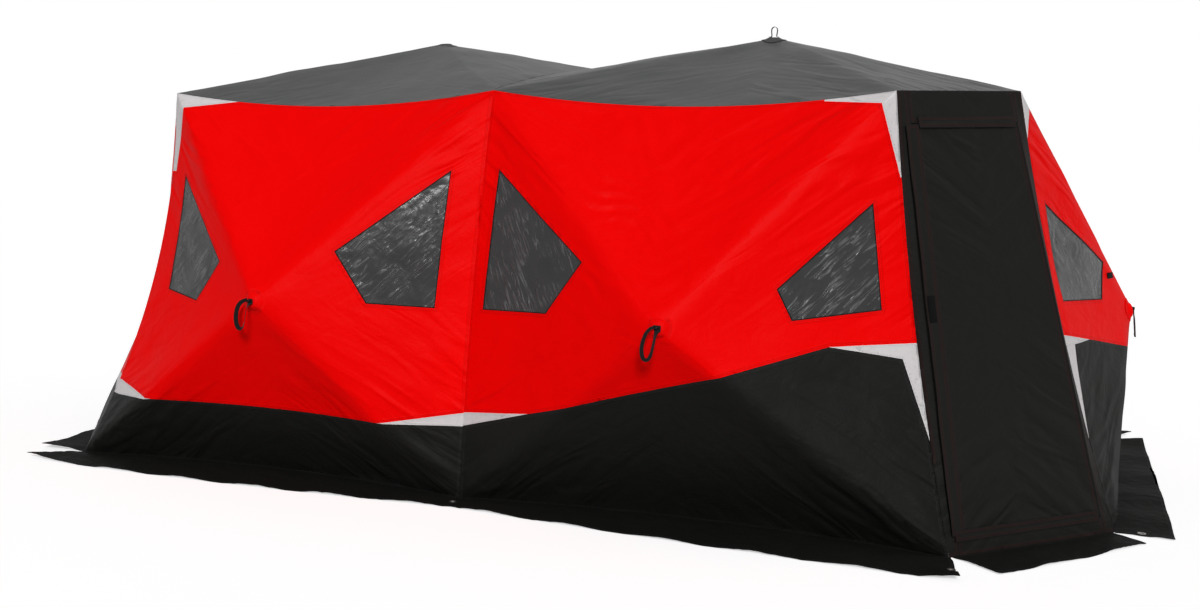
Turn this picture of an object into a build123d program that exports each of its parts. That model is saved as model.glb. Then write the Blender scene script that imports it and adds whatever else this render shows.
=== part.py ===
"""A two-bay pop-up fishing shelter: insulated fabric walls and roof tensioned by hubs and poles.

Frame: millimetres, +Z up, origin on the ground at the middle of the floor plan.  The long walls
face -Y (front) and +Y (back).  The shelter is the same again when turned half round about Z, so
one half is described and the other is turned from it.
"""
from build123d import *
import math
import os

import numpy as np

os.makedirs("parts", exist_ok=True)


def at(x, y, z):
    return np.array([x, y, z], float)


# ------------------------------------------------------------------ driving dimensions
BAY = 2013.0            # floor length of one bay, corner to middle seam
DOOR_CUT = 600.0        # how far a door corner is cut back along each wall, at the floor
WIDTH = 2232.0          # floor width
EAVE_HEIGHT = 1778.0    # corners of the eaves
MID_EAVE_HEIGHT = 1786.0
LEAN_LONG = 249.0       # how far the long walls lean in by the eaves
LEAN_END = 420.0        # the same for the end walls
EAVE_CUT = 448.0        # the door corner's cut, at the eaves
SEAM_DRIFT = 57.0       # the middle seam moves this far towards the middle by the eaves
ROOF_HUB_HEIGHT = 2031.0
ROOF_HUB_REACH = 840.0  # roof hub to the middle of the plan

FABRIC = 5.0            # quilted wall and roof fabric
VINYL = 1.5             # window panes
VINYL_DEPTH = 2.0       # pane set back from the outer face of the wall
SEAM_GAP = 0.2          # each panel stops this short of the seam line
GORE_GAP = 0.2          # between the gores of one panel, along each pole
HUB_OPENING = 0.03      # share of each panel, about its hub, left to the hub cap

POLE_R = 5.5
SOCKET_R = 8.5          # hub socket and pole boot
SOCKET_WALL_GAP = 0.3   # pole in its socket
SKIN_GAP = 2.0          # socket or boot to the fabric
POLE_BOOT_LENGTH = 60.0
BOOT_ROUND = 5.0        # rounding of the boot's tip
BOOT_TO_CORNER = 75.0   # boot's tip to the corner, along the pole
HUB_R = 34.0
HUB_THICK = 18.0
HUB_BOSS_R = 11.0       # boss that carries the cap and its strap
SOCKET_START = 20.0
SOCKET_END = 62.0
POLE_START = 36.0       # pole's inner end, from the hub's middle
POLE_END_GAP = 0.3      # pole's inner end to the bottom of its socket
HUB_STEP = 1.0          # hub disc, below the fabric's lowest point over it

JAMB = 50.0             # fixed fabric beside the door flap
SILL = 70.0
HEADER = 130.0
FLAP_GAP = 5.0          # door flap to what stays still
WELT_R = 5.0            # sewn hinge welt
WELT_GAP = 0.3
WELT_END = 1.5          # welt's ends to the sill and the header
HINGE_SETBACK = 3.0     # hinge axis inside the jamb's edge, so that the welt is sewn to it
DOOR_TOP_GAP = 1.0      # header and jambs below the roof seam
BAND_GAP = 0.9          # header and sill to the jambs
FLAP_BATTEN = 24.0      # storm strip and hem on the flap
BATTEN_THICK = 2.0

SKIRT = 215.0           # ground skirt's reach past the wall
SKIRT_MID_PULL = 65.0   # the skirt is narrower at the middle seam
SKIRT_THICK = 3.0
SKIRT_GAP = 0.5
LONG_WALL_FLARE = 0.66  # the walls lean out over the skirt by at most this, per unit of height
END_WALL_FLARE = 0.36
SKIRT_BILLOW = 12.0     # the skirt's outer edge wanders by this
MID_SCALLOP = 20.0      # the scallop's middle, past the seam
NOTCH_IN = 6.0          # the skirts stop this far past a door corner by the wall
NOTCH_OUT = 48.0        # and this far past it at their outer edge
DOOR_NOTCH = 14.0       # the door's own skirt starts this far in from the corner
GROMMET_R = 16.0
GROMMET_HOLE_R = 8.0
GROMMET_THICK = 2.0
COLLAR_WALL = 1.2       # eyelet's collar, through the skirt
COLLAR_GAP = 0.3        # collar and washer to the skirt
COLLAR_LIFT = 0.8       # collar's lower end above the ground
COLLAR_R = GROMMET_HOLE_R + COLLAR_WALL

STRAP_WIDTH = 22.0
STRAP_THICK = 2.0
STRAP_DROP = 118.0
STRAP_REACH = 34.0
STRAP_ENDS = 7.5        # the strap's two ends, above and below the hub's middle
LOOP_HEIGHT = 44.0      # roof loop
LOOP_HALF = 13.0        # half its width at the top
LOOP_NECK = 9.0         # and at its foot
LOOP_FOOT = 24.0        # end of each sewn tab
CAP_R = 58.0
CAP_THICK = 3.0
CAP_GAP = 0.4
CAP_SEAT = 0.3          # hub boss to the cap
CAP_RIM_LIFT = 0.4      # cap's rim above the ridges under it
CAP_LAND_R = 17.0       # flat middle of the cap, under the strap
STRAP_SEAT = 0.3

FAR = 400.0             # cutters reach this far past the wall
SLIT_REACH = 1.1        # the cut along a pole runs this many times its length
HALF_L = BAY + DOOR_CUT / 2
HALF_W = WIDTH / 2
CENTRE = at(0, 0, 700)


def turned(p):
    """The same point on the other half of the shelter."""
    return at(-p[0], -p[1], p[2])


TWIN = {
    "front_left": "back_right", "front_mid": "back_mid", "front_right": "back_left",
    "right_front": "left_back",
}
TWIN.update({v: k for k, v in list(TWIN.items())})

# ------------------------------------------------------------------ corners, hubs and seams
POINT = {
    ("floor", "front_left"): at(-HALF_L, -HALF_W, 0),
    ("floor", "front_mid"): at(-HALF_L + BAY, -HALF_W, 0),
    ("floor", "front_right"): at(HALF_L - DOOR_CUT, -HALF_W, 0),
    ("floor", "right_front"): at(HALF_L, -HALF_W + DOOR_CUT, 0),
    ("eave", "front_left"): at(-HALF_L + LEAN_END, -HALF_W + LEAN_LONG, EAVE_HEIGHT),
    ("eave", "front_mid"): at(-HALF_L + BAY + SEAM_DRIFT, -HALF_W + LEAN_LONG, MID_EAVE_HEIGHT),
    ("eave", "front_right"): at(HALF_L - LEAN_END - EAVE_CUT, -HALF_W + LEAN_LONG, EAVE_HEIGHT),
    ("eave", "right_front"): at(HALF_L - LEAN_END, -HALF_W + LEAN_LONG + EAVE_CUT, EAVE_HEIGHT),
}
for (level, corner), place in list(POINT.items()):
    POINT[(level, TWIN[corner])] = turned(place)


def hub_of(names, shift, out, height):
    """A wall hub: over the middle of its four corners, pushed out and set at its height."""
    corners = [POINT[(level, name)] for level in ("floor", "eave") for name in names]
    middle = sum(corners) / 4 + shift + out
    return at(middle[0], middle[1], height)


# A panel is a hub and the loop of corners that its poles run to.
PANEL = {
    "front_left": (
        hub_of(("front_left", "front_mid"), at(16, 0, 0), at(0, -403, 0), 861),
        [("floor", "front_left"), ("floor", "front_mid"),
         ("eave", "front_mid"), ("eave", "front_left")]),
    "front_right": (
        hub_of(("front_mid", "front_right"), at(-22, 0, 0), at(0, -429, 0), 863),
        [("floor", "front_mid"), ("floor", "front_right"),
         ("eave", "front_right"), ("eave", "front_mid")]),
    "right_end": (
        hub_of(("right_front", "back_right"), at(0, 2, 0), at(285, 0, 0), 816),
        [("floor", "right_front"), ("floor", "back_right"),
         ("eave", "back_right"), ("eave", "right_front")]),
    "roof_right": (
        at(ROOF_HUB_REACH, 0, ROOF_HUB_HEIGHT),
        [("eave", "front_mid"), ("eave", "front_right"), ("eave", "right_front"),
         ("eave", "back_right"), ("eave", "back_mid")]),
}
TWIN_PANEL = {
    "front_left": "back_right", "front_right": "back_left",
    "right_end": "left_end", "roof_right": "roof_left",
}
for name, other in TWIN_PANEL.items():
    hub, loop = PANEL[name]
    PANEL[other] = (turned(hub), [(level, TWIN[corner]) for level, corner in loop])


def unit(v):
    return v / np.linalg.norm(v)


BOW = {}


def seam(a, b, amount, pull):
    """A seam between two corners, bowed `amount` the way it is pulled, and its twin."""
    for p, q, way in ((a, b, pull), ((a[0], TWIN[a[1]]), (b[0], TWIN[b[1]]), turned(pull))):
        chord = unit(POINT[q] - POINT[p])
        BOW[frozenset((p, q))] = amount * unit(way - chord * np.dot(way, chord))


CORNER_BOW = 115.0      # sharp corner, pulled into the shelter
MID_SEAM_BOW = 50.0     # seam between the bays, pulled out by both hubs
DOOR_SEAM_BOW = 45.0
EAVE_BOW = 75.0
VALLEY_BOW = 100.0      # roof seam between the bays, lifted by both roof hubs
DOOR_TOP_BOW = 0.5
FLOOR_BOW = 115.0
END_FLOOR_BOW = 100.0

seam(("floor", "front_left"), ("eave", "front_left"), CORNER_BOW, at(0.86, 0.5, 0))
seam(("floor", "front_mid"), ("eave", "front_mid"), MID_SEAM_BOW, at(0, -1, 0))
seam(("floor", "front_right"), ("eave", "front_right"), DOOR_SEAM_BOW, at(-1, 1, 0))
seam(("floor", "right_front"), ("eave", "right_front"), DOOR_SEAM_BOW, at(-1, 1, 0))
seam(("floor", "front_left"), ("floor", "front_mid"), FLOOR_BOW, at(0, 1, 0))
seam(("floor", "front_mid"), ("floor", "front_right"), FLOOR_BOW, at(0, 1, 0))
seam(("floor", "right_front"), ("floor", "back_right"), END_FLOOR_BOW, at(-1, 0, 0))
seam(("eave", "front_left"), ("eave", "front_mid"), EAVE_BOW, at(0, 0.42, -0.9))
seam(("eave", "front_mid"), ("eave", "front_right"), EAVE_BOW, at(0, 0.42, -0.9))
seam(("eave", "right_front"), ("eave", "back_right"), EAVE_BOW, at(-0.42, 0, -0.9))
seam(("eave", "front_mid"), ("eave", "back_mid"), VALLEY_BOW, at(0, 0, 1))
seam(("eave", "front_right"), ("eave", "right_front"), DOOR_TOP_BOW, at(0, 0, -1))


def middle_of(a, b):
    return (POINT[a] + POINT[b]) / 2 + BOW[frozenset((a, b))]


def tangent(a, b):
    """Direction of the seam's arc as it leaves corner a for corner b."""
    chord = POINT[b] - POINT[a]
    bow = BOW[frozenset((a, b))]
    turn = 2 * math.atan2(2 * np.linalg.norm(bow), np.linalg.norm(chord))
    return unit(chord) * math.cos(turn) + unit(bow) * math.sin(turn)


def outward(normal, place):
    normal = unit(normal)
    return normal if np.dot(normal, place - CENTRE) > 0 else -normal


def door_corners(side):
    """Corners of a door panel: floor left, floor right, eave right, eave left, from outside."""
    left, right = ("front_right", "right_front") if side == "right" else ("back_left", "left_back")
    return [("floor", left), ("floor", right), ("eave", right), ("eave", left)]


def door_normal(side):
    a, b, _, d = [POINT[k] for k in door_corners(side)]
    return outward(np.cross(b - a, d - a), a)


def corners_beside(corner, loop):
    """The corners before and after one corner of a panel."""
    place = loop.index(corner)
    return loop[place - 1], loop[(place + 1) % len(loop)]


def normals_at_corner(corner):
    place = POINT[corner]
    found = []
    for hub, loop in PANEL.values():
        if corner in loop:
            for beside in corners_beside(corner, loop):
                found.append(outward(np.cross(place - hub, tangent(corner, beside)), place))
    for side in ("right", "left"):
        if corner in door_corners(side):
            found.append(door_normal(side))
    return found


def normals_at_middle(a, b):
    place = middle_of(a, b)
    found = []
    for hub, loop in PANEL.values():
        if a in loop and b in loop:
            found.append(outward(np.cross(place - hub, POINT[b] - POINT[a]), place))
    for side in ("right", "left"):
        if a in door_corners(side) and b in door_corners(side):
            found.append(door_normal(side))
    return found


def inset(normals, depth, on_floor=False):
    """The step that moves a point `depth` inside every surface that meets there."""
    rows = np.array(normals)
    wanted = -depth * np.ones(len(rows))
    if on_floor:
        step = np.linalg.lstsq(rows[:, :2], wanted, rcond=None)[0]
        return at(step[0], step[1], 0)
    return np.linalg.lstsq(rows, wanted, rcond=None)[0]


def corner_at(corner, depth):
    """A corner at one depth in the fabric, mitred between every surface that meets there."""
    return POINT[corner] + inset(normals_at_corner(corner), depth, corner[0] == "floor")


def middle_at(a, b, depth):
    """The middle of a seam at one depth in the fabric."""
    on_floor = a[0] == "floor" and b[0] == "floor"
    return middle_of(a, b) + inset(normals_at_middle(a, b), depth, on_floor)


def ridge_normals(panel, corner):
    """Outward normals of the two gores that meet along one pole."""
    hub, loop = PANEL[panel]
    place = POINT[corner]
    ridge = place - hub
    return [outward(np.cross(ridge, tangent(corner, beside)), hub + ridge / 2)
            for beside in corners_beside(corner, loop)]


def hub_at(panel, depth):
    hub, loop = PANEL[panel]
    normals = [n for corner in loop for n in ridge_normals(panel, corner)]
    return hub + inset(normals, depth)


# ------------------------------------------------------------------ tensioned panels
def towards(p, q, amount, level):
    """Point p moved a little towards q, without leaving the ground."""
    step = unit(q - p) * amount
    return p + (at(step[0], step[1], 0) if level else step)


def arc(a, m, b):
    return Edge.make_three_point_arc(tuple(a), tuple(m), tuple(b))


def rim_of(panel, depth):
    """The panel's outline at one depth in the fabric: the three points of each seam's arc."""
    hub, loop = PANEL[panel]
    centre = hub_at(panel, depth)
    rim = []
    for i, a in enumerate(loop):
        b = loop[(i + 1) % len(loop)]
        on_floor = a[0] == "floor" and b[0] == "floor"
        rim.append((towards(corner_at(a, depth), centre, SEAM_GAP, a[0] == "floor"),
                    towards(middle_at(a, b, depth), centre, SEAM_GAP, on_floor),
                    towards(corner_at(b, depth), centre, SEAM_GAP, b[0] == "floor")))
    return centre, rim


def closed_solid(faces):
    solid = Solid(Shell(faces))
    if solid.volume < 0:
        solid = Solid(Shell([-face for face in faces]))
    return solid


def tensioned_shell(panel, outer_depth, inner_depth):
    """Conical gores from the hub to each bowed seam, given thickness and sewn into one solid."""
    faces = []
    edges = {}
    for depth in (outer_depth, inner_depth):
        centre, rim = rim_of(panel, depth)
        seams = [arc(*points) for points in rim]
        mouth = [arc(*[centre + (p - centre) * HUB_OPENING for p in points]) for points in rim]
        edges[depth] = (seams, mouth)
        faces += [Face.make_surface_from_curves(m, s) for m, s in zip(mouth, seams)]
    for kind in (0, 1):
        faces += [Face.make_surface_from_curves(o, i)
                  for o, i in zip(edges[outer_depth][kind], edges[inner_depth][kind])]
    return closed_solid(faces)


def gore_seams(panel):
    """Thin cutters along the poles, which part a panel into the gores it is sewn from."""
    hub, loop = PANEL[panel]
    cutters = []
    for corner in loop:
        ridge = POINT[corner] - hub
        n1, n2 = ridge_normals(panel, corner)
        plane = Plane(origin=tuple(hub), x_dir=tuple(unit(ridge)),
                      z_dir=tuple(unit(np.cross(n1 + n2, ridge))))
        length = np.linalg.norm(ridge) * SLIT_REACH
        slit = Rectangle(length, FAR, align=(Align.MIN, Align.CENTER))
        cutters.append(extrude(plane * slit, GORE_GAP / 2, both=True))
    return cutters


def prism(outline, wall):
    """A straight cutter through one side of a wall, from an outline of (along, height) points."""
    if wall == "right_end":
        points = [(HALF_L - LEAN_END * 2, along, height) for along, height in outline]
        return extrude(make_face(Polyline(points, close=True)), HALF_L, dir=(1, 0, 0))
    points = [(along, -HALF_W + LEAN_LONG * 2, height) for along, height in outline]
    return extrude(make_face(Polyline(points, close=True)), HALF_L, dir=(0, -1, 0))


LOW = -50.0
HIGH = EAVE_HEIGHT + FAR
FL, FM, FR, RF, BR = [POINT[("floor", n)] for n in
                      ("front_left", "front_mid", "front_right", "right_front", "back_right")]
EL, EM, ER, EF, EB = [POINT[("eave", n)] for n in
                      ("front_left", "front_mid", "front_right", "right_front", "back_right")]

HF = PANEL["front_left"][0]
HR = PANEL["front_right"][0]
HE = PANEL["right_end"][0]

# Heights of the line where the red wall meets the black lower wall.
LINE_SHARP = 300.0
LINE_MID = 318.0
LINE_DOOR = 797.0
SHARP_LEVEL = 180.0     # the line is level this far in from a sharp corner
SHARP_RUN = 470.0       # and has risen by SHARP_RISE this far in
SHARP_RISE = 28.0
MID_RUN = 355.0         # where it turns level again by the middle seam
MID_RISE = 6.0
DOOR_LEVEL = 155.0
DOOR_RUN = 465.0
DOOR_FALL = 12.0
CLIMB_RUN = 350.0       # start of the long climb to the door
CLIMB_RISE = 112.0
END_RUN = 300.0         # the same line on the end wall
END_FALL = 60.0
END_HUB_FALL = 165.0

LOWER = {
    "front_left": [(FL[0] - FAR, LOW), (FM[0] + FAR, LOW), (FM[0] + FAR, LINE_MID),
                   (FM[0], LINE_MID), (FM[0] - MID_RUN, LINE_MID + MID_RISE),
                   (FL[0] + SHARP_RUN, LINE_SHARP + SHARP_RISE),
                   (FL[0] + SHARP_LEVEL, LINE_SHARP), (FL[0] - FAR, LINE_SHARP)],
    "front_right": [(FM[0] - FAR, LOW), (FR[0] + FAR, LOW), (FR[0] + FAR, LINE_DOOR),
                    (FR[0] - DOOR_LEVEL, LINE_DOOR), (FR[0] - DOOR_RUN, LINE_DOOR - DOOR_FALL),
                    (FM[0] + CLIMB_RUN, LINE_MID + CLIMB_RISE), (FM[0], LINE_MID),
                    (FM[0] - FAR, LINE_MID)],
    "right_end": [(RF[1] - FAR, LOW), (BR[1] + FAR, LOW), (BR[1] + FAR, LINE_SHARP),
                  (BR[1] - SHARP_LEVEL, LINE_SHARP),
                  (BR[1] - SHARP_RUN, LINE_SHARP + SHARP_RISE),
                  (HE[1], LINE_DOOR - END_HUB_FALL), (RF[1] + END_RUN, LINE_DOOR - END_FALL),
                  (RF[1], LINE_DOOR), (RF[1] - FAR, LINE_DOOR)],
}

# Reflective trim.  Each piece is a bent strip: its reach along the seam and down the corner, the
# waist where it bends as (along, down), and how deep it is.
SHARP_REACH = 380.0
SHARP_WAIST = (62.0, 70.0)
SHARP_DEPTH = 38.0
SHARP_HOLD = 8.0        # its lower tip, in from the eave corner
SHARP_FOOT_DEPTH = 72.0
SHARP_FOOT_WAIST = 66.0
DOOR_REACH = 275.0
DOOR_DROP = 340.0
DOOR_WAIST = (51.0, 49.0)
DOOR_DEPTH = 42.0
DOOR_HOLD = 28.0        # its lower tip, out from the eave corner, where the seam has leant out
END_DOOR_REACH = 270.0
END_DOOR_WAIST = (55.0, 62.0)
END_DOOR_DEPTH = 40.0
END_DOOR_HOLD = 55.0
FOOT_DROP = 400.0       # door trim below the line
FOOT_TIP = 78.0         # its lower tip, in from the floor corner
FOOT_WAIST = (200.0, 60.0)
END_FOOT_TIP = 20.0
END_FOOT_WAIST = (72.0, 62.0)
MID_HALF = 60.0         # trim either side of the middle seam
MID_DEPTH = 60.0
MID_SLOPE = 6.0


def sharp_eave_trim(corner, along, inwards):
    """Trim at the eave end of a sharp corner; `inwards` is the way into the wall."""
    x, top = corner[along], corner[2]
    return [(x - inwards * FAR, HIGH), (x + inwards * SHARP_REACH, HIGH),
            (x + inwards * SHARP_REACH, top - SHARP_DEPTH),
            (x + inwards * SHARP_WAIST[0], top - SHARP_WAIST[1]),
            (x + inwards * SHARP_HOLD, top - SHARP_REACH),
            (x - inwards * FAR, top - SHARP_REACH)]


def sharp_foot_trim(corner, along, inwards):
    """Trim over the line at the foot of a sharp corner."""
    x = corner[along]
    return [(x - inwards * FAR, LINE_SHARP + SHARP_FOOT_DEPTH),
            (x + inwards * SHARP_LEVEL, LINE_SHARP + SHARP_FOOT_WAIST),
            (x + inwards * SHARP_RUN, LINE_SHARP + SHARP_RISE),
            (x + inwards * SHARP_LEVEL, LINE_SHARP), (x - inwards * FAR, LINE_SHARP)]


TRIM = {
    "front_left": [
        sharp_eave_trim(EL, 0, 1),
        sharp_foot_trim(FL, 0, 1),
        [(FM[0] - MID_RUN, LINE_MID + MID_RISE),
         (FM[0] + MID_HALF, LINE_MID + MID_DEPTH + MID_SLOPE), (FM[0] + MID_HALF, LINE_MID),
         (FM[0], LINE_MID)],
    ],
    "front_right": [
        [(FM[0] - MID_HALF, LINE_MID + MID_DEPTH), (FM[0], LINE_MID + MID_DEPTH),
         (FM[0] + CLIMB_RUN, LINE_MID + CLIMB_RISE), (FM[0], LINE_MID),
         (FM[0] - MID_HALF, LINE_MID)],
        [(FR[0] - DOOR_RUN, LINE_DOOR - DOOR_FALL), (FR[0] - DOOR_LEVEL, LINE_DOOR),
         (FR[0] + FAR, LINE_DOOR), (FR[0] + FAR, LINE_DOOR - FOOT_DROP),
         (FR[0] - FOOT_TIP, LINE_DOOR - FOOT_DROP),
         (FR[0] - FOOT_WAIST[0], LINE_DOOR - FOOT_WAIST[1])],
        [(ER[0] - DOOR_REACH, HIGH), (ER[0] + FAR, HIGH), (ER[0] + FAR, ER[2] - DOOR_DROP),
         (ER[0] + DOOR_HOLD, ER[2] - DOOR_DROP), (ER[0] - DOOR_WAIST[0], ER[2] - DOOR_WAIST[1]),
         (ER[0] - DOOR_REACH, ER[2] - DOOR_DEPTH)],
    ],
    "right_end": [
        [(EF[1] - FAR, HIGH), (EF[1] + END_DOOR_REACH, HIGH),
         (EF[1] + END_DOOR_REACH, EF[2] - END_DOOR_DEPTH),
         (EF[1] + END_DOOR_WAIST[0], EF[2] - END_DOOR_WAIST[1]),
         (EF[1] - END_DOOR_HOLD, EF[2] - DOOR_DROP), (EF[1] - FAR, EF[2] - DOOR_DROP)],
        [(RF[1] - FAR, LINE_DOOR), (RF[1], LINE_DOOR), (RF[1] + END_RUN, LINE_DOOR - END_FALL),
         (RF[1] + END_FOOT_WAIST[0], LINE_DOOR - END_FOOT_WAIST[1]),
         (RF[1] - END_FOOT_TIP, LINE_DOOR - FOOT_DROP), (RF[1] - FAR, LINE_DOOR - FOOT_DROP)],
        sharp_foot_trim(BR, 1, -1),
        sharp_eave_trim(EB, 1, -1),
    ],
}

# Window outlines as (along the wall from its hub, height), the long side by the seam first.
WINDOW = {
    "front_left": [
        [(-625, 1384), (-684, 832), (-439, 808), (-282, 1004)],
        [(781, 1435), (748, 834), (465, 852), (321, 1079)]],
    "front_right": [
        [(-807, 1442), (-840, 837), (-511, 857), (-351, 1083)],
        [(748, 1340), (798, 923), (480, 885), (420, 1007)]],
    "right_end": [
        [(-622, 1318), (-644, 913), (-273, 881), (-192, 1037)],
        [(560, 1318), (600, 880), (400, 840), (250, 1010)]],
}


def solids_of(shape):
    return list(shape.solids())


def wall_pieces(wall):
    """Upper fabric, lower fabric, reflective trim and window panes of one wall."""
    shell = tensioned_shell(wall, 0.0, FABRIC)
    gores = shell - gore_seams(wall)
    glazing = tensioned_shell(wall, VINYL_DEPTH, VINYL_DEPTH + VINYL)
    hub = PANEL[wall][0][1 if wall == "right_end" else 0]
    windows = [prism([(hub + along, height) for along, height in outline], wall)
               for outline in WINDOW[wall]]
    trims = [prism(outline, wall) for outline in TRIM[wall]]
    below = prism(LOWER[wall], wall)
    return {
        "upper": solids_of(gores - [below] - trims - windows),
        "lower": solids_of((gores & below) - trims),
        "trim": [s for cutter in trims for s in solids_of(shell & cutter)],
        "windows": [s for cutter in windows for s in solids_of(glazing & cutter)],
    }


# ------------------------------------------------------------------ hub-and-pole frame
POLE_DEPTH = FABRIC + SKIN_GAP + SOCKET_R


def rod(a, b, radius):
    """A round bar from a to b."""
    way = b - a
    plane = Plane(origin=tuple(a), z_dir=tuple(unit(way)))
    return extrude(plane * Circle(radius), float(np.linalg.norm(way)))


def pole_line(panel, corner):
    """Axis of one pole, from over the hub to the corner, clear of both gores beside it."""
    hub, _ = PANEL[panel]
    n1, n2 = ridge_normals(panel, corner)
    step = -POLE_DEPTH * (n1 + n2) / (1 + np.dot(n1, n2))
    return hub + step, POINT[corner] + step


def pole(panel, corner):
    start, end = pole_line(panel, corner)
    way = unit(end - start)
    tip = end - way * BOOT_TO_CORNER
    shoulder = tip - way * POLE_BOOT_LENGTH
    boot = rod(shoulder, tip, SOCKET_R)
    last = boot.edges().filter_by(GeomType.CIRCLE).sort_by_distance(tuple(tip))[0]
    boot = fillet(last, BOOT_ROUND)
    return solids_of(rod(start + way * POLE_START, shoulder, POLE_R) + boot)[0]


def steepest_gore(panel, normal):
    """How fast the panel's steepest gore falls away from its hub."""
    hub, loop = PANEL[panel]
    falls = []
    for i, a in enumerate(loop):
        way = unit(middle_of(a, loop[(i + 1) % len(loop)]) - hub)
        fall = -np.dot(way, normal)
        falls.append(fall / math.sqrt(1 - fall ** 2))
    return max(falls)


def hub_normal(panel):
    """Outward axis of the hub, its cap and its strap."""
    return unit(PANEL[panel][0] - hub_at(panel, FABRIC))


def hub_body(panel):
    """A disc with one bored socket for each pole, and a boss that reaches up to the cap."""
    hub, loop = PANEL[panel]
    lines = [pole_line(panel, corner) for corner in loop]
    normal = hub_normal(panel)
    depth = HUB_R * steepest_gore(panel, normal) + FABRIC + SKIN_GAP + HUB_STEP
    top = hub - normal * depth
    under_cap = hub + normal * (CAP_GAP - CAP_SEAT)
    body = rod(top - normal * HUB_THICK, top, HUB_R)
    body += rod(top - normal * HUB_THICK / 2, under_cap, HUB_BOSS_R)
    for start, end in lines:
        way = unit(end - start)
        body += rod(start + way * SOCKET_START, start + way * SOCKET_END, SOCKET_R)
    for start, end in lines:
        way = unit(end - start)
        bottom = start + way * (POLE_START - POLE_END_GAP)
        body -= rod(bottom, start + way * (SOCKET_END + SOCKET_R), POLE_R + SOCKET_WALL_GAP)
    return solids_of(body)


def hub_cap(panel):
    """A shallow sewn cap over the hub, seated on the fabric round it."""
    hub, loop = PANEL[panel]
    normal = hub_normal(panel)
    flattest = min(abs(np.dot(unit(POINT[c] - hub), normal)) for c in loop)
    drop = CAP_R * flattest / math.sqrt(1 - flattest ** 2)
    rim_z = -drop + CAP_GAP + CAP_RIM_LIFT
    plane = Plane(origin=tuple(hub), z_dir=tuple(normal))
    section = Polyline([(0, 0, CAP_GAP), (CAP_LAND_R, 0, CAP_GAP), (CAP_R, 0, rim_z),
                        (CAP_R, 0, rim_z + CAP_THICK), (CAP_LAND_R, 0, CAP_GAP + CAP_THICK),
                        (0, 0, CAP_GAP + CAP_THICK)], close=True)
    return solids_of(plane * revolve(make_face(section), Axis.Z))


def offset_band(line, thickness):
    """A flat band of even thickness along an open line."""
    return make_face(offset(line, thickness / 2, side=Side.BOTH))


def strap(panel):
    """Webbing that leaves the cap, turns down and comes back to it as a narrow loop."""
    hub = PANEL[panel][0]
    out = hub_normal(panel)
    along = unit(np.cross(at(0, 0, 1), out))
    base = hub + out * (CAP_GAP + CAP_THICK + STRAP_SEAT + STRAP_THICK / 2)
    plane = Plane(origin=tuple(base - along * STRAP_WIDTH / 2), x_dir=tuple(out),
                  z_dir=tuple(along))
    belly = -STRAP_DROP * 0.5
    path = [(0, STRAP_ENDS), (STRAP_REACH, STRAP_ENDS), (STRAP_REACH * 1.12, belly),
            (STRAP_REACH * 0.6, -STRAP_DROP), (STRAP_REACH * 0.45, belly),
            (STRAP_REACH * 0.55, -STRAP_ENDS), (0, -STRAP_ENDS)]
    band = FilletPolyline(path, radius=[9, 60, 5, 60, 7])
    return solids_of(extrude(plane * offset_band(band, STRAP_THICK), STRAP_WIDTH))


# ------------------------------------------------------------------ doors
def door_frame(side):
    """Plane on the door's outer face: x runs along the sill, y up the door, z outwards."""
    left, right = [POINT[k] for k in door_corners(side)[:2]]
    across = unit(right - left)
    normal = door_normal(side)
    return left, across, np.cross(normal, across), normal


def on_door(side, x, y, depth=0.0):
    origin, across, up, normal = door_frame(side)
    return origin + across * x + up * y - normal * depth


def door_size(side):
    """Floor length, and where the eave corners lie: x left, x right, y."""
    origin, across, up, _ = door_frame(side)
    _, foot, right, left = [POINT[k] - origin for k in door_corners(side)]
    return np.dot(foot, across), np.dot(left, across), np.dot(right, across), np.dot(left, up)


def edge_x(side, y, which):
    """x of the zip line or the hinge line at a height on the door."""
    foot, left, right, top = door_size(side)
    share = y / top
    if which == "zip":
        return left * share + JAMB
    return foot + (right - foot) * share - JAMB


def door_jamb(side, which):
    """Fixed fabric between a bowed wall seam and the straight zip or hinge line."""
    keys = door_corners(side)
    low, high = (keys[0], keys[3]) if which == "zip" else (keys[1], keys[2])
    _, across, up, normal = door_frame(side)
    inwards = across if which == "zip" else -across
    flat = at(normal[0], normal[1], 0)
    loops = {}
    for depth in (0.0, FABRIC):
        step = inwards * SEAM_GAP
        below = step - up * DOOR_TOP_GAP
        seam_arc = [corner_at(low, depth) + step, middle_at(low, high, depth) + step,
                    corner_at(high, depth) + below]
        foot = POINT[low] + inwards * JAMB - flat * depth / np.dot(flat, flat)
        top = POINT[high] + inwards * JAMB + inset(normals_at_middle(keys[2], keys[3]), depth)
        top = top - up * DOOR_TOP_GAP
        loops[depth] = (seam_arc, foot, top)
    faces = []
    rims = []
    for depth, (seam_arc, foot, top) in loops.items():
        curve = arc(*seam_arc)
        straight = Edge.make_line(tuple(foot), tuple(top))
        faces.append(Face.make_surface_from_curves(curve, straight))
        rims.append((curve, straight,
                     Edge.make_line(tuple(seam_arc[0]), tuple(foot)),
                     Edge.make_line(tuple(seam_arc[2]), tuple(top))))
    faces += [Face.make_surface_from_curves(o, i) for o, i in zip(*rims)]
    jamb = closed_solid(faces)
    if which == "zip":
        return [jamb]
    top_y = door_size(side)[3]
    welt = rod(hinge_point(side, SILL + WELT_END), hinge_point(side, top_y - HEADER - WELT_END),
               WELT_R)
    return solids_of(jamb + welt)


def hinge_point(side, y):
    """A point of the hinge axis, at mid thickness of the flap."""
    return on_door(side, edge_x(side, y, "hinge") - HINGE_SETBACK, y, FABRIC / 2)


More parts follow.
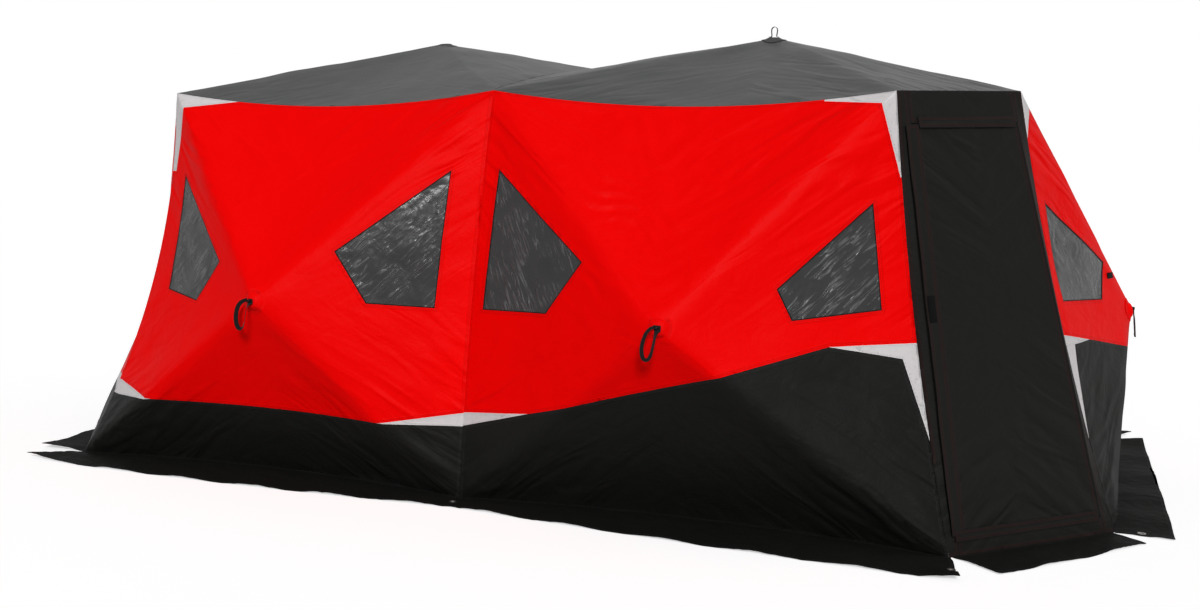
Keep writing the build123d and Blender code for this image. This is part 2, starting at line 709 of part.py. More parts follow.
def door_band(side, low, high):
    """Fixed fabric across the door between two heights, from the zip line to the hinge line."""
    keys = door_corners(side)
    _, _, up, normal = door_frame(side)
    flat = at(normal[0], normal[1], 0)
    top_y = door_size(side)[3]
    faces = []
    for depth in (0.0, FABRIC):
        ring = []
        for y, order in ((low, ("zip", "hinge")), (high, ("hinge", "zip"))):
            for which in order:
                shift = BAND_GAP if which == "zip" else -BAND_GAP
                point = on_door(side, edge_x(side, y, which) + shift, y)
                if y == 0:
                    point = point - flat * depth / np.dot(flat, flat)
                elif y == top_y:
                    point = point + inset(normals_at_middle(keys[2], keys[3]), depth)
                    point = point - up * DOOR_TOP_GAP
                else:
                    point = point - normal * depth
                ring.append(tuple(point))
        faces.append(make_face(Polyline(ring, close=True)).faces()[0])
    return solids_of(loft(faces, ruled=True))


WELT_CLEAR = (WELT_R + WELT_GAP) * 1.01    # a little over, as the hinge line leans


def flap_outline(side):
    """Corners of the moving flap on the door plane."""
    top_y = door_size(side)[3]
    low, high = SILL + FLAP_GAP, top_y - HEADER - FLAP_GAP
    zip_side = [edge_x(side, y, "zip") + FLAP_GAP for y in (low, high)]
    hinge_side = [edge_x(side, y, "hinge") - HINGE_SETBACK - WELT_CLEAR for y in (low, high)]
    return [(zip_side[0], low), (hinge_side[0], low), (hinge_side[1], high), (zip_side[1], high)]


def flap_plane(side, depth):
    origin, across, up, normal = door_frame(side)
    return Plane(origin=tuple(origin - normal * depth), x_dir=tuple(across), z_dir=tuple(normal))


def door_flap(side):
    """The moving flap: a fabric leaf with a raised storm strip down its zip side and a hem."""
    outline = flap_outline(side)
    leaf = extrude(flap_plane(side, FABRIC) * make_face(Polyline(outline, close=True)), FABRIC)
    (foot_x, foot_y), (top_x, top_y) = outline[0], outline[3]
    strip = [(foot_x, foot_y), (foot_x + FLAP_BATTEN, foot_y), (top_x + FLAP_BATTEN, top_y),
             (top_x, top_y)]
    raised = extrude(flap_plane(side, 0.0) * make_face(Polyline(strip, close=True)), BATTEN_THICK)
    return solids_of(leaf + raised)


# ------------------------------------------------------------------ ground skirt
def ground_arc(a, b, gap):
    """A floor seam's arc, moved outwards to clear the wall that leans over it."""
    along_x = abs(POINT[a][1] - POINT[b][1]) < 1
    moved = []
    for p in (POINT[a], middle_of(a, b), POINT[b]):
        away = unit(at(0, p[1], 0)) if along_x else unit(at(p[0], 0, 0))
        moved.append(at(p[0], p[1], 0) + away * gap)
    return moved


def skirt_slab(edges, holes):
    """A skirt from its outline, with a hole for each eyelet."""
    outline = edges[0]
    for edge in edges[1:]:
        outline = outline + edge
    slab = extrude(make_face(outline), SKIRT_THICK)
    for x, y in holes:
        slab -= Pos(x, y, 0) * extrude(Circle(COLLAR_R + COLLAR_GAP), SKIRT_THICK)
    return solids_of(slab), holes


def front_skirt():
    """Skirt of the front wall, with a pointed corner at the sharp end and a scallop mid-way."""
    gap = SKIRT_GAP + SKIRT_THICK * LONG_WALL_FLARE
    left = ground_arc(("floor", "front_left"), ("floor", "front_mid"), gap)
    right = ground_arc(("floor", "front_mid"), ("floor", "front_right"), gap)
    y_out = -HALF_W - SKIRT
    tip = (FL[0] - SKIRT * 0.87, y_out + SKIRT_BILLOW, 0)
    shoulder = (FL[0] + SKIRT * 0.75, y_out - SKIRT_BILLOW, 0)
    mid = (FM[0] + MID_SCALLOP, y_out + SKIRT_MID_PULL, 0)
    end_out = (FR[0] + NOTCH_OUT, y_out - SKIRT * 0.26, 0)
    end_in = (FR[0] + NOTCH_IN, -HALF_W - gap, 0)
    corner_in = (FL[0] + 1, -HALF_W - gap, 0)
    edges = [
        ThreePointArc(left[0], left[1], left[2]),
        ThreePointArc(right[0], right[1], right[2]),
        Line(tuple(right[2]), end_in), Line(end_in, end_out),
        ThreePointArc(end_out, (FM[0] + BAY * 0.42, y_out - 4, 0), mid),
        ThreePointArc(mid, (FL[0] + BAY * 0.56, y_out + 2, 0), shoulder),
        Line(shoulder, tip), Line(tip, corner_in), Line(corner_in, tuple(left[0])),
    ]
    return skirt_slab(edges, [(FM[0], -HALF_W - SKIRT * 0.36), (FR[0] + 14, -HALF_W - SKIRT * 0.7)])


def end_skirt():
    """Skirt of the end wall, from the door corner to the sharp corner behind it."""
    gap = SKIRT_GAP + SKIRT_THICK * END_WALL_FLARE
    inner = ground_arc(("floor", "right_front"), ("floor", "back_right"), gap)
    x_out = HALF_L + SKIRT
    first_in = (HALF_L + gap, RF[1] - NOTCH_IN, 0)
    first_out = (x_out, RF[1] - NOTCH_OUT / 2, 0)
    last_out = (x_out + SKIRT_BILLOW, BR[1] + SKIRT * 0.2, 0)
    last_in = (HALF_L + gap, BR[1] - 3, 0)
    edges = [
        ThreePointArc(inner[0], inner[1], inner[2]),
        Line(tuple(inner[2]), last_in), Line(last_in, last_out),
        ThreePointArc(last_out, (x_out + SKIRT_BILLOW, HE[1], 0), first_out),
        Line(first_out, first_in), Line(first_in, tuple(inner[0])),
    ]
    return skirt_slab(edges, [(HALF_L + SKIRT * 0.46, RF[1] - 2 + GROMMET_R)])


def door_skirt():
    """Skirt under the door sill, with a notch each side of it."""
    out = at(1, -1, 0) / math.sqrt(2)
    across = at(1, 1, 0) / math.sqrt(2)
    near_a = FR + out * SKIRT_GAP + across * DOOR_NOTCH
    near_b = RF + out * SKIRT_GAP - across * DOOR_NOTCH
    far_a = FR + out * (SKIRT * 1.02) + across * (DOOR_NOTCH * 2.4)
    far_b = RF + out * (SKIRT * 0.72) - across * (DOOR_NOTCH * 0.4)
    billow = (far_a + far_b) / 2 + out * SKIRT_BILLOW
    edges = [Line(tuple(near_a), tuple(near_b)), Line(tuple(near_b), tuple(far_b)),
             ThreePointArc(tuple(far_b), tuple(billow), tuple(far_a)),
             Line(tuple(far_a), tuple(near_a))]
    return skirt_slab(edges, [])


def grommet(x, y):
    """An eyelet whose collar passes through the skirt, with a washer on top."""
    top = SKIRT_THICK + COLLAR_GAP + GROMMET_THICK
    collar = Pos(0, 0, COLLAR_LIFT) * extrude(Circle(COLLAR_R), top - COLLAR_LIFT)
    washer = Pos(0, 0, SKIRT_THICK + COLLAR_GAP) * extrude(Circle(GROMMET_R), GROMMET_THICK)
    bore = extrude(Circle(GROMMET_HOLE_R), top + 1)
    return solids_of(Pos(x, y, 0) * (collar + washer - bore))


def roof_loop():
    """A webbing hanging loop on the cap of one roof hub."""
    hub = PANEL["roof_right"][0]
    normal = hub_normal("roof_right")
    across = unit(np.cross(at(0, 1, 0), normal))
    along = np.cross(across, normal)
    base = hub + normal * (CAP_GAP + CAP_THICK + STRAP_SEAT + STRAP_THICK / 2)
    plane = Plane(origin=tuple(base - along * STRAP_WIDTH / 2), x_dir=tuple(across),
                  z_dir=tuple(along))
    path = [(-LOOP_FOOT, 0), (-LOOP_NECK, 0), (-LOOP_HALF, LOOP_HEIGHT), (LOOP_HALF, LOOP_HEIGHT),
            (LOOP_NECK, 0), (LOOP_FOOT, 0)]
    band = FilletPolyline(path, radius=[5, 11, 11, 5])
    return solids_of(extrude(plane * offset_band(band, STRAP_THICK), STRAP_WIDTH))


# ------------------------------------------------------------------ nodes
def half_turn(solids):
    return [s.rotate(Axis.Z, 180) for s in solids]


NODES = {}


def add(name, solids):
    NODES.setdefault(name, []).extend(solids)


for wall, other in (("front_left", "back_right"), ("front_right", "back_left"),
                    ("right_end", "left_end")):
    pieces = wall_pieces(wall)
    side, other_side = (wall, other) if wall == "right_end" else ("front", "back")
    add(wall + "_upper", pieces["upper"])
    add(wall + "_lower", pieces["lower"])
    add(side + "_trim", pieces["trim"])
    add(side + "_windows", pieces["windows"])
    add(other + "_upper", half_turn(pieces["upper"]))
    add(other + "_lower", half_turn(pieces["lower"]))
    add(other_side + "_trim", half_turn(pieces["trim"]))
    add(other_side + "_windows", half_turn(pieces["windows"]))
    bars = [pole(wall, corner) for corner in PANEL[wall][1]]
    add(side + "_poles", bars)
    add(other_side + "_poles", half_turn(bars))
    body = hub_body(wall)
    add("wall_hubs", body + half_turn(body))
    cap = hub_cap(wall)
    add("hub_caps", cap + half_turn(cap))
    loop = strap(wall)
    add("pull_straps", loop + half_turn(loop))

roof = solids_of(tensioned_shell("roof_right", 0.0, FABRIC) - gore_seams("roof_right"))
add("roof_right", roof)
add("roof_left", half_turn(roof))
bars = [pole("roof_right", corner) for corner in PANEL["roof_right"][1]]
add("roof_poles", bars + half_turn(bars))
body = hub_body("roof_right")
add("roof_hubs", body + half_turn(body))
cap = hub_cap("roof_right")
add("hub_caps", cap + half_turn(cap))
add("roof_loop", roof_loop())

jambs = door_jamb("right", "zip") + door_jamb("right", "hinge")
header = door_band("right", door_size("right")[3] - HEADER, door_size("right")[3])
sill = door_band("right", 0, SILL)
flap = door_flap("right")
for name, solids in (("jambs", jambs), ("header", header), ("sill", sill), ("flap", flap)):
    add("right_door_" + name, solids)
    add("left_door_" + name, half_turn(solids))

for name, other, (slab, holes) in (("front_skirt", "back_skirt", front_skirt()),
                                   ("right_end_skirt", "left_end_skirt", end_skirt()),
                                   ("right_door_skirt", "left_door_skirt", door_skirt())):
    add(name, slab)
    add(other, half_turn(slab))
    for x, y in holes:
        eyelet = grommet(x, y)
        add("grommets", eyelet + half_turn(eyelet))

for name, solids in NODES.items():
    shape = solids[0] if len(solids) == 1 else Compound(children=solids)
    export_step(shape, f"parts/{name}.step")

low, high = hinge_point("right", SILL), hinge_point("right", door_size("right")[3] - HEADER)
print("hinge point", low.round(3), "axis", unit(high - low).round(6))
print(len(NODES), "nodes")
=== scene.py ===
"""Fabric, windows, webbing and finishes of a two-bay pop-up fishing shelter.

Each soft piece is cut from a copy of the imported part, so it keeps the part's size and seams.  The
copy is cut by a fine grid of planes, then folded: soft creases run from the corners and along the
poles, and they die out at every seam, so neighbours still meet.  Strips, straps, tabs and zips are
built from lines and blocks.  The shelter repeats when turned half round about Z, so each piece is
made for both halves: `twin` is 0 on the first half and 1 on the turned one.
"""
import math
from collections import namedtuple

import bmesh
import bpy
import numpy as np
from bpy.props import FloatProperty, FloatVectorProperty, PointerProperty
from mathutils import Matrix, Vector
from mathutils.bvhtree import BVHTree
from mathutils.kdtree import KDTree


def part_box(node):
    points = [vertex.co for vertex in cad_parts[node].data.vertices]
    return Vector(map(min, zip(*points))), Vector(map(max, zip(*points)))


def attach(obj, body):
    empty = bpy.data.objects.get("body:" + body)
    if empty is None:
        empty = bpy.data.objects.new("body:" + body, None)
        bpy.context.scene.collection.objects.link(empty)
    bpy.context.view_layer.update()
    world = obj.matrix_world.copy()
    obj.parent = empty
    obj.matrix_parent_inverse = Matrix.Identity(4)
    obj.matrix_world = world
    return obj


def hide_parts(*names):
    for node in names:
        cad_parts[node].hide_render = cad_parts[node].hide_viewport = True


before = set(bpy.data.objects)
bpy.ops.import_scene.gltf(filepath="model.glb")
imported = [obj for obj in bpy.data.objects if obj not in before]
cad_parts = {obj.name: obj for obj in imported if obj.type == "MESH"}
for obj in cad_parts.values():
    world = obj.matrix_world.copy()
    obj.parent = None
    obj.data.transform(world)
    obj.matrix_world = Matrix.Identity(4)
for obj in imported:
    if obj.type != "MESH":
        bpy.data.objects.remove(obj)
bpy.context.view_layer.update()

bl_info = {
    "name": "Fishing shelter fabric",
    "version": (1, 0, 0),
    "blender": (4, 5, 0),
    "location": "View3D > Sidebar > Shelter",
    "description": "Builds the fabric, windows, webbing and finishes of a pop-up fishing shelter",
    "category": "Object",
}

HALF_TURN = Matrix.Rotation(math.pi, 4, "Z")
TURNS = np.ones(3), np.array((-1.0, -1.0, 1.0))
HALF_NAMES = (("front_left", "back_right"), ("front_right", "back_left"),
              ("right_end", "left_end"), ("right_door", "left_door"), ("roof_right", "roof_left"),
              ("front", "back"), ("right", "left"))
FIXED, MOVING = ("root", "root"), ("right_door", "left_door")
NOT_CLOTH = ("poles", "hubs", "hub_caps", "straps", "loop", "grommets", "skirt")
ALONG, DEEP, UP = np.eye(3)
OUT = np.array([0.0, -1.0, 0.0])

MERGE = 0.00002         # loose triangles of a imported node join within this
GORE_SLIT = 0.001       # gores of one panel lie closer than this along each pole
NEARLY_LEVEL = 0.02     # facets within this angle, in radians, are joined before the grid is cut
NEARBY = 0.1            # nodes this far from a piece still count as beside it
FACING = 0.25           # share of the outward way in a normal that looks outwards
RIM_FACING = 0.35       # and the most of it in the normal of a cut edge
EDGE_REACH = 0.05       # distances to a piece's edge are measured up to here
SHARP = math.radians(50)
SOFTNESS = 0.75         # how much of a ridge over a pole is shaded away
RIDGE_REACH = 0.09
DRIFT = 0.3             # ripples wander over about this length
CUTTING_SHARE = 0.62    # of a roll's cloth ends up in the piece
FLAP_REST_GAP = 0.005   # between the flap and the cloth round it
TAB_SHARE = 0.545       # height of the hook tab, as a share of the flap
TOOTH_PITCH = 0.0042
HEM_SHARE = 1.01        # length a door strip is cut to, over the length it covers
ROOF_FROM = 1.9         # cloth above this height has the roof's colour
CAP_R = 0.058
CAP_LAND = 0.018        # the cap is flat this far out, over the hub's boss
CAP_DRAPED = 0.042      # and lies on the wall from here
CAP_SLOPE_AT = 0.078    # where the wall's slope is read
CAP_THICK = 0.0016
CAP_SEAT = 0.0006
STRAP_WIDTH = 0.02
LOOP_WIDTH = 0.022
STRAP_THICK = 0.0019
# The pull strap's line from its sewn end and back, in millimetres: along the wall, up, and out.
STRAP_LINE = ((0, 7, 3), (-4, 9, 14), (-14, 8, 30), (-34, -8, 41), (-48, -44, 42), (-55, -84, 36),
              (-50, -116, 28), (-36, -126, 22), (-22, -108, 20), (-13, -70, 24), (-7, -34, 27),
              (-3, -12, 18), (0, -6, 8), (0, -7, 3))
# The roof loop's line, in millimetres: across, and up from the hub.
LOOP_LINE = ((-24, 0), (-14, 0), (-9, 1), (-11, 16), (-14, 38), (-5, 47), (5, 47), (14, 38),
             (11, 16), (9, 1), (14, 0), (24, 0))
# The slanting edge of the end trim's point beside the door, as (y, height), from the band down.
TRIM_POINT = ((-0.374, 0.735), (-0.474, 0.37))
CAMERA_PLACE = (1.873, -6.572, 1.725)
CAMERA_PITCH = 84.136
CAMERA_YAW = 23.486
CAMERA_SHIFT = (0.1515, -0.0502)
FLOOR_SIZE = 80.0
FLOOR_GLOW = 0.52


def unit(v):
    return np.array(v, float) / np.linalg.norm(v)


# ------------------------------------------------------------------ settings
def length(name, description, default):
    return FloatProperty(name=name, description=description, default=default, unit="LENGTH")


def colour(name, description, default):
    return FloatVectorProperty(name=name, description=description, default=default,
                               subtype="COLOR", size=3, min=0, max=1)


class ShelterCloth(bpy.types.PropertyGroup):
    """Sizes and colours of the fabric."""

    wall_grid: length("Wall grid", "Spacing of the cuts that let wall fabric fold", 0.016)
    roof_grid: length("Roof grid", "Spacing of the cuts in the roof", 0.022)
    door_grid: length("Door grid", "Spacing of the cuts in the door pieces", 0.016)
    skirt_grid: length("Skirt grid", "Spacing of the cuts in the ground skirt", 0.02)
    vinyl_grid: length("Vinyl grid", "Spacing of the cuts in the window panes", 0.009)
    trim_grid: length("Trim grid", "Spacing of the cuts in the reflective trim", 0.014)
    calm_edge: length("Calm edge", "Folds die out over this distance from a seam", 0.06)
    pole_round: length("Pole rounding", "How far the fabric is rounded off over a pole", 0.0014)
    pole_width: length("Pole rounding width", "Half width of that rounding", 0.02)
    wall_sway: length("Wall sway", "Height of the wall's broad swells", 0.0034)
    corner_fold: length("Corner folds", "Height of the folds that fan from a corner", 0.007)
    vinyl_ripple: length("Vinyl ripple", "Height of the ripples in a window pane", 0.0017)
    window_border: length("Window border", "Width of the tape round each pane", 0.0045)
    storm_width: length("Storm flap", "How far the storm flap reaches over the zip", 0.036)
    red: colour("Red", "Upper wall fabric", (0.84, 0.0006, 0.0006))
    black: colour("Black", "Lower wall fabric", (0.006, 0.006, 0.0055))
    door_black: colour("Door black", "Door fabric", (0.0085, 0.0084, 0.0078))
    roof: colour("Roof", "Charcoal roof fabric", (0.06, 0.061, 0.061))
    skirt: colour("Skirt", "Ground skirt fabric", (0.0065, 0.0065, 0.006))
    lining: colour("Lining", "Quilted inner face", (0.028, 0.028, 0.029))
    silver: colour("Reflective trim", "Light grey reflective fabric", (0.58, 0.555, 0.56))
    vinyl: colour("Vinyl", "Tint of the window panes", (0.032, 0.032, 0.033))


class ShelterStage(bpy.types.PropertyGroup):
    """Camera and lights."""

    lens: FloatProperty(name="Lens", description="Focal length", default=40.98, unit="CAMERA")
    key: FloatProperty(name="Key light", description="Soft light from the front and above",
                       default=2.65)
    fill: FloatProperty(name="Fill light", description="Weak light from the right", default=0.14)
    sky: FloatProperty(name="Sky", description="Even light from all round", default=0.16)
    floor: colour("Floor", "Pale floor", (0.8, 0.8, 0.8))
    bounce: colour("Floor bounce", "How bright the floor is for light that bounces off it",
                   (0.46, 0.45, 0.45))


def cloth():
    return bpy.context.scene.shelter_cloth


# ------------------------------------------------------------------ reading the frame
def node_points(name):
    """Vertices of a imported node, in metres."""
    return np.array([v.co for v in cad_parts[name].data.vertices])


def furthest(name, way):
    """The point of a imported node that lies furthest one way."""
    points = node_points(name)
    return points[np.argmax(points @ np.array(way, float))]


FLOOR_LEFT = furthest("front_left_lower", (-1, -0.2, -1))
FLOOR_MID = furthest("front_left_lower", (1, -0.2, -1))
FLOOR_RIGHT = furthest("front_right_lower", (1, -0.2, -1))
FLOOR_FRONT = furthest("right_end_lower", (0.2, -1, -1))
FLOOR_BACK = furthest("right_end_lower", (0.2, 1, -1))
EAVE_LEFT = furthest("roof_left", (-1, -1, -1))
EAVE_MID = furthest("front_left_upper", (1, 0.3, 2))
EAVE_RIGHT = furthest("roof_right", (0.3, -1, -1))
EAVE_FRONT = furthest("roof_right", (1, -0.3, -1))
EAVE_BACK = furthest("roof_right", (1, 1, -1))
HUB_LEFT = furthest("wall_hubs", (-0.3, -1, 0))
HUB_RIGHT = furthest("wall_hubs", (0.3, -1, 0))
HUB_END = furthest("wall_hubs", (1, 0, 0))
HUB_ROOF = furthest("roof_hubs", (0.01, 0, 1))

# A panel's outward way, its hub, the corners its poles reach and its cloth's two directions.
Panel = namedtuple("Panel", "out hub corners axes")
PANELS = {
    "front_left": Panel(OUT, HUB_LEFT, (FLOOR_LEFT, FLOOR_MID, EAVE_MID, EAVE_LEFT), (ALONG, UP)),
    "front_right": Panel(OUT, HUB_RIGHT, (FLOOR_MID, FLOOR_RIGHT, EAVE_RIGHT, EAVE_MID),
                         (ALONG, UP)),
    "right_end": Panel(ALONG, HUB_END, (FLOOR_FRONT, FLOOR_BACK, EAVE_BACK, EAVE_FRONT),
                       (DEEP, UP)),
    "roof_right": Panel(UP, HUB_ROOF, (EAVE_MID, EAVE_RIGHT, EAVE_FRONT, EAVE_BACK,
                                       EAVE_MID * (1, -1, 1)), (ALONG, DEEP)),
}
WALLS = ("front_left", "front_right", "right_end")
SIDES = ("front", "right_end")
POLES = {"roof_right": "roof_poles", "right_end": "right_end_poles"}
# Seeds of each panel's folds and each side's panes, on the first half and the turned one.
FOLD_SEEDS = {"front_left": (3, 203), "front_right": (43, 243), "right_end": (83, 283),
              "roof_right": (501, 601)}
PANE_SEEDS = {"front": (24, 224), "right_end": (64, 264)}

DOOR_ACROSS = unit(FLOOR_FRONT - FLOOR_RIGHT)
DOOR_UP = unit((EAVE_RIGHT + EAVE_FRONT - FLOOR_RIGHT - FLOOR_FRONT) / 2)
DOOR_OUT = np.cross(DOOR_ACROSS, DOOR_UP)
FLAP = [furthest("right_door_flap", a * DOOR_ACROSS + b * DOOR_UP + 0.01 * DOOR_OUT)
        for a, b in ((-1, -1), (1, -1), (1, 1), (-1, 1))]

# Folds that only one wall has.  Fans: corner, first way, last way, number, reach, height, seed.
WALL_FANS = {
    "front_right": ((EAVE_MID, (1, 0, -0.2), (0.8, 0, -0.6), 6, 1.0, 0.008, 31),
                    (EAVE_RIGHT, (-1, 0, -0.3), (-0.6, 0, -0.9), 5, 0.7, 0.006, 32))}
# Patches of ripples: middle, radius, way across them, pitch, height, seed, warp.
WALL_RIPPLES = {
    "front_right": (((EAVE_MID + HUB_RIGHT) / 2 + (0.25, 0, 0.1), 0.6, (0.35, 0, 1), 0.075, 0.0065,
                     5, 0.14),
                    (HUB_RIGHT + (-0.15, 0, 0.24), 0.45, (0.2, 0, 1), 0.07, 0.0045, 6, 0.14)),
    "front_left": ((EAVE_MID + (-0.45, 0, -0.15), 0.55, (-0.2, 0, 1), 0.08, 0.0045, 5, 0.16),)}
# Skirts: seed, way of the waves, and lifted corners as way to the corner, height and radius.
SKIRTS = {
    "front_skirt": (811, np.array([1.0, 0.15, 0]),
                    (((-1, -0.5, 0), 0.022, 0.2), ((1, -0.6, 0), 0.012, 0.16))),
    "right_end_skirt": (821, np.array([0.2, 1.0, 0]), (((0.6, 1, 0), 0.02, 0.3),)),
    "right_door_skirt": (831, DOOR_ACROSS, ())}


def panel_of(side):
    """The panel that gives a side its outward way and directions."""
    return PANELS["front_left" if side == "front" else side]


def name_on_half(name, twin):
    """A node's or piece's name on the other half of the shelter."""
    if twin:
        for first, second in HALF_NAMES:
            if name.startswith(first):
                return second + name[len(first):]
    return name


def packed(*names):
    mesh = bmesh.new()
    for name in names:
        mesh.from_mesh(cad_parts[name].data)
    return mesh


def tree_of(*names):
    return BVHTree.FromBMesh(packed(*names))


def neighbours_of(*names):
    """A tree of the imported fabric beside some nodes, for distances to their seams."""
    low = np.min([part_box(name)[0] for name in names], axis=0) - NEARBY
    high = np.max([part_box(name)[1] for name in names], axis=0) + NEARBY
    found = []
    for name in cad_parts:
        a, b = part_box(name)
        beside = np.all(np.array(b) >= low) and np.all(np.array(a) <= high)
        if beside and name not in names and not any(word in name for word in NOT_CLOTH):
            found.append(name)
    return tree_of(*found)


def distances(points, tree, most):
    """How far each point is from a tree's surface, up to a limit."""
    found = [tree.find_nearest(Vector(p), most)[3] for p in points]
    return np.array([most if d is None else d for d in found])


# ------------------------------------------------------------------ folds
def smooth(share):
    share = np.clip(share, 0, 1)
    return share * share * (3 - 2 * share)


def line_place(points, a, b):
    """Share along a line, and distance from it, of each point."""
    way = b - a
    share = (points - a) @ way / (way @ way)
    away = np.linalg.norm(points - a - np.outer(share, way), axis=1)
    return share, away


def pole_distance(points, panel):
    return np.min([line_place(points, panel.hub, end)[1] for end in panel.corners], axis=0)


def crease(points, a, b, width, height, spread):
    """One soft fold from a to b: it starts narrow, widens by `spread` times, and fades out."""
    share, away = line_place(points, a, b)
    along = smooth(share / 0.15) * smooth((1 - share) / 0.55)
    wide = width * (1 + (spread - 1) * np.clip(share, 0, 1))
    return height * along * np.exp(-(away / wide) ** 2)


def fan(points, corner, first, last, count, reach, height, seed):
    """Folds that spread from a corner between two ways, deep near it and fading with distance."""
    luck = np.random.default_rng(seed)
    first, last = np.array(first, float), np.array(last, float)
    total = np.zeros(len(points))
    for k in range(count):
        share = (k + luck.uniform(0.2, 0.8)) / count
        end = corner + unit(first * (1 - share) + last * share) * reach * luck.uniform(0.55, 1.0)
        sign = 1 if k % 2 else -0.7
        total += crease(points, corner, end, 0.012, sign * height * luck.uniform(0.6, 1), 3.2)
    return total


def swell(points, scale, height, seed):
    """Broad uneven swells: a few crossing waves of about one length."""
    luck = np.random.default_rng(seed)
    total = np.zeros(len(points))
    for _ in range(7):
        way = unit(luck.normal(size=3))
        phase = points @ way * 2 * math.pi / (scale * luck.uniform(0.7, 1.5))
        total += np.sin(phase + luck.uniform(0, 6.28))
    return total * height / 3


def ripples(points, way, pitch, height, seed, warp=0.35):
    """Wandering parallel folds across one way."""
    bend = swell(points, DRIFT, warp, seed) * pitch * 6
    phase = (points @ unit(way) + bend) * 2 * math.pi / pitch
    rise = 0.5 + 0.5 * swell(points, DRIFT * 0.8, 1.2, seed + 1)
    return height * np.sin(phase) * np.clip(rise, 0, 1.2)


def patch(points, centre, radius):
    """One inside a soft ball, falling to nothing at its radius."""
    return smooth(1 - np.linalg.norm(points - centre, axis=1) / radius)


def pole_rounding(points, panel):
    settings = cloth()
    total = np.zeros(len(points))
    for corner in panel.corners:
        share, away = line_place(points, panel.hub, corner)
        inside = smooth(share / 0.08) * smooth((1.02 - share) / 0.08)
        total -= settings.pole_round * inside * np.exp(-(away / settings.pole_width) ** 2)
    return total


def wall_folds(points, name, seed):
    """Signed fold height of every point of one wall, before it dies out at the seams."""
    out, hub, (low_left, low_right, high_right, high_left), _ = PANELS[name]
    sway, fold = cloth().wall_sway, cloth().corner_fold
    total = swell(points, 0.42, sway, seed)
    total += swell(points, 0.16, sway * 0.22, seed + 9)
    across = unit(low_right - low_left)
    corner_fans = np.zeros(len(points))
    for number, corner, side in ((1, low_left, across), (2, low_right, -across)):
        corner_fans += fan(points, corner, side + UP * 0.1, side * 0.5 + UP, 6, 0.55, fold,
                           seed + number)
    for number, corner, side in ((3, high_left, across), (4, high_right, -across)):
        corner_fans += fan(points, corner, side - UP * 0.12, side * 0.5 - UP, 6, 0.6, fold * 0.5,
                           seed + number)
    total += corner_fans
    for *shape, number in WALL_FANS.get(name, ()):
        total += fan(points, *shape, seed + number)
    for middle, radius, *shape, number, warp in WALL_RIPPLES.get(name, ()):
        total += patch(points, middle, radius) * ripples(points, *shape, seed + number, warp)
    sideways = np.cross(UP, out)
    tucks = hub + UP * -0.16 + sideways * 0.05
    total += patch(points, tucks, 0.13) * ripples(points, sideways, 0.032, 0.0014, seed + 8)
    way = UP + 0.15 * ((low_left + low_right) / 2 - hub)
    near_ground = smooth((0.2 - points[:, 2]) / 0.2)
    return total + near_ground * ripples(points, way, 0.11, 0.004, seed + 7)


def roof_folds(points, name, seed):
    """Roof fabric: broad swells and folds from the eave corners towards the hub."""
    panel = PANELS[name]
    total = swell(points, 0.5, 0.004, seed)
    total += swell(points, 0.17, 0.0012, seed + 2)
    for number, corner in enumerate(panel.corners):
        way = unit(panel.hub - corner)
        side = np.cross(UP, way)
        total += fan(points, corner, way + side * 0.6, way - side * 0.6, 6, 0.6, 0.005,
                     seed + 10 + number)
    return total


def split_front(points, values_left, values_right):
    """Picks the left or right bay's values by which side of the middle seam a point is on."""
    share = np.clip(points[:, 2] / EAVE_MID[2], 0, 1)
    seam_x = FLOOR_MID[0] + (EAVE_MID[0] - FLOOR_MID[0]) * share
    return np.where(points[:, 0] < seam_x, values_left, values_right)


def side_folds(points, side, twin, calm):
    """Fold height on one panel or both bays of the front: folds may rise over a pole but don't
    sink into it, and the cloth is rounded off over it."""
    if side == "front":
        return split_front(points, *(side_folds(points, wall, twin, calm) for wall in WALLS[:2]))
    panel = PANELS[side]
    folds = roof_folds if side == "roof_right" else wall_folds
    height = folds(points, side, FOLD_SEEDS[side][twin]) * calm
    clear = smooth((pole_distance(points, panel) - 0.012) / 0.05)
    height = np.where(height < 0, height * clear, height)
    return height + pole_rounding(points, panel) * smooth(calm * 3)


def side_calm(points, side):
    """How free each point is, from the seams to other panels and from the floor."""
    if side == "front":
        return split_front(points, *(side_calm(points, wall) for wall in WALLS[:2]))
    own = ["roof_right"]
    if side != "roof_right":
        shared = side if side == "right_end" else "front"
        own = [side + "_upper", side + "_lower", shared + "_trim", shared + "_windows"]
    near = distances(points, neighbours_of(*own), cloth().calm_edge)
    if side != "roof_right":
        near = np.minimum(near, np.clip(points[:, 2], 0, None) * 1.5 + 0.002)
    return smooth(near / cloth().calm_edge)


# ------------------------------------------------------------------ cutting and folding copies
def node_copy(name):
    """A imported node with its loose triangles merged."""
    mesh = packed(name)
    bmesh.ops.remove_doubles(mesh, verts=mesh.verts, dist=MERGE)
    return mesh


def keep_faces(mesh, wanted):
    bmesh.ops.delete(mesh, geom=[f for f in mesh.faces if not wanted(f)], context="FACES")


def keep_outer(mesh, out):
    keep_faces(mesh, lambda face: face.normal.dot(Vector(out)) >= FACING)


def sew_gores(mesh):
    """Joins the gores of one panel: faces that look at each other across the slit go, and the
    two edges are sewn, so that the cloth runs on over each pole."""
    tree = BVHTree.FromBMesh(mesh)

    def open_to_air(face):
        start = face.calc_center_median() + face.normal * 0.00001
        normal = tree.ray_cast(start, face.normal, GORE_SLIT)[1]
        return normal is None or normal.dot(face.normal) >= -0.9

    keep_faces(mesh, open_to_air)
    match_edges(mesh)
    bmesh.ops.remove_doubles(mesh, verts=mesh.verts, dist=GORE_SLIT)
    bmesh.ops.holes_fill(mesh, edges=[e for e in mesh.edges if e.is_boundary], sides=8)


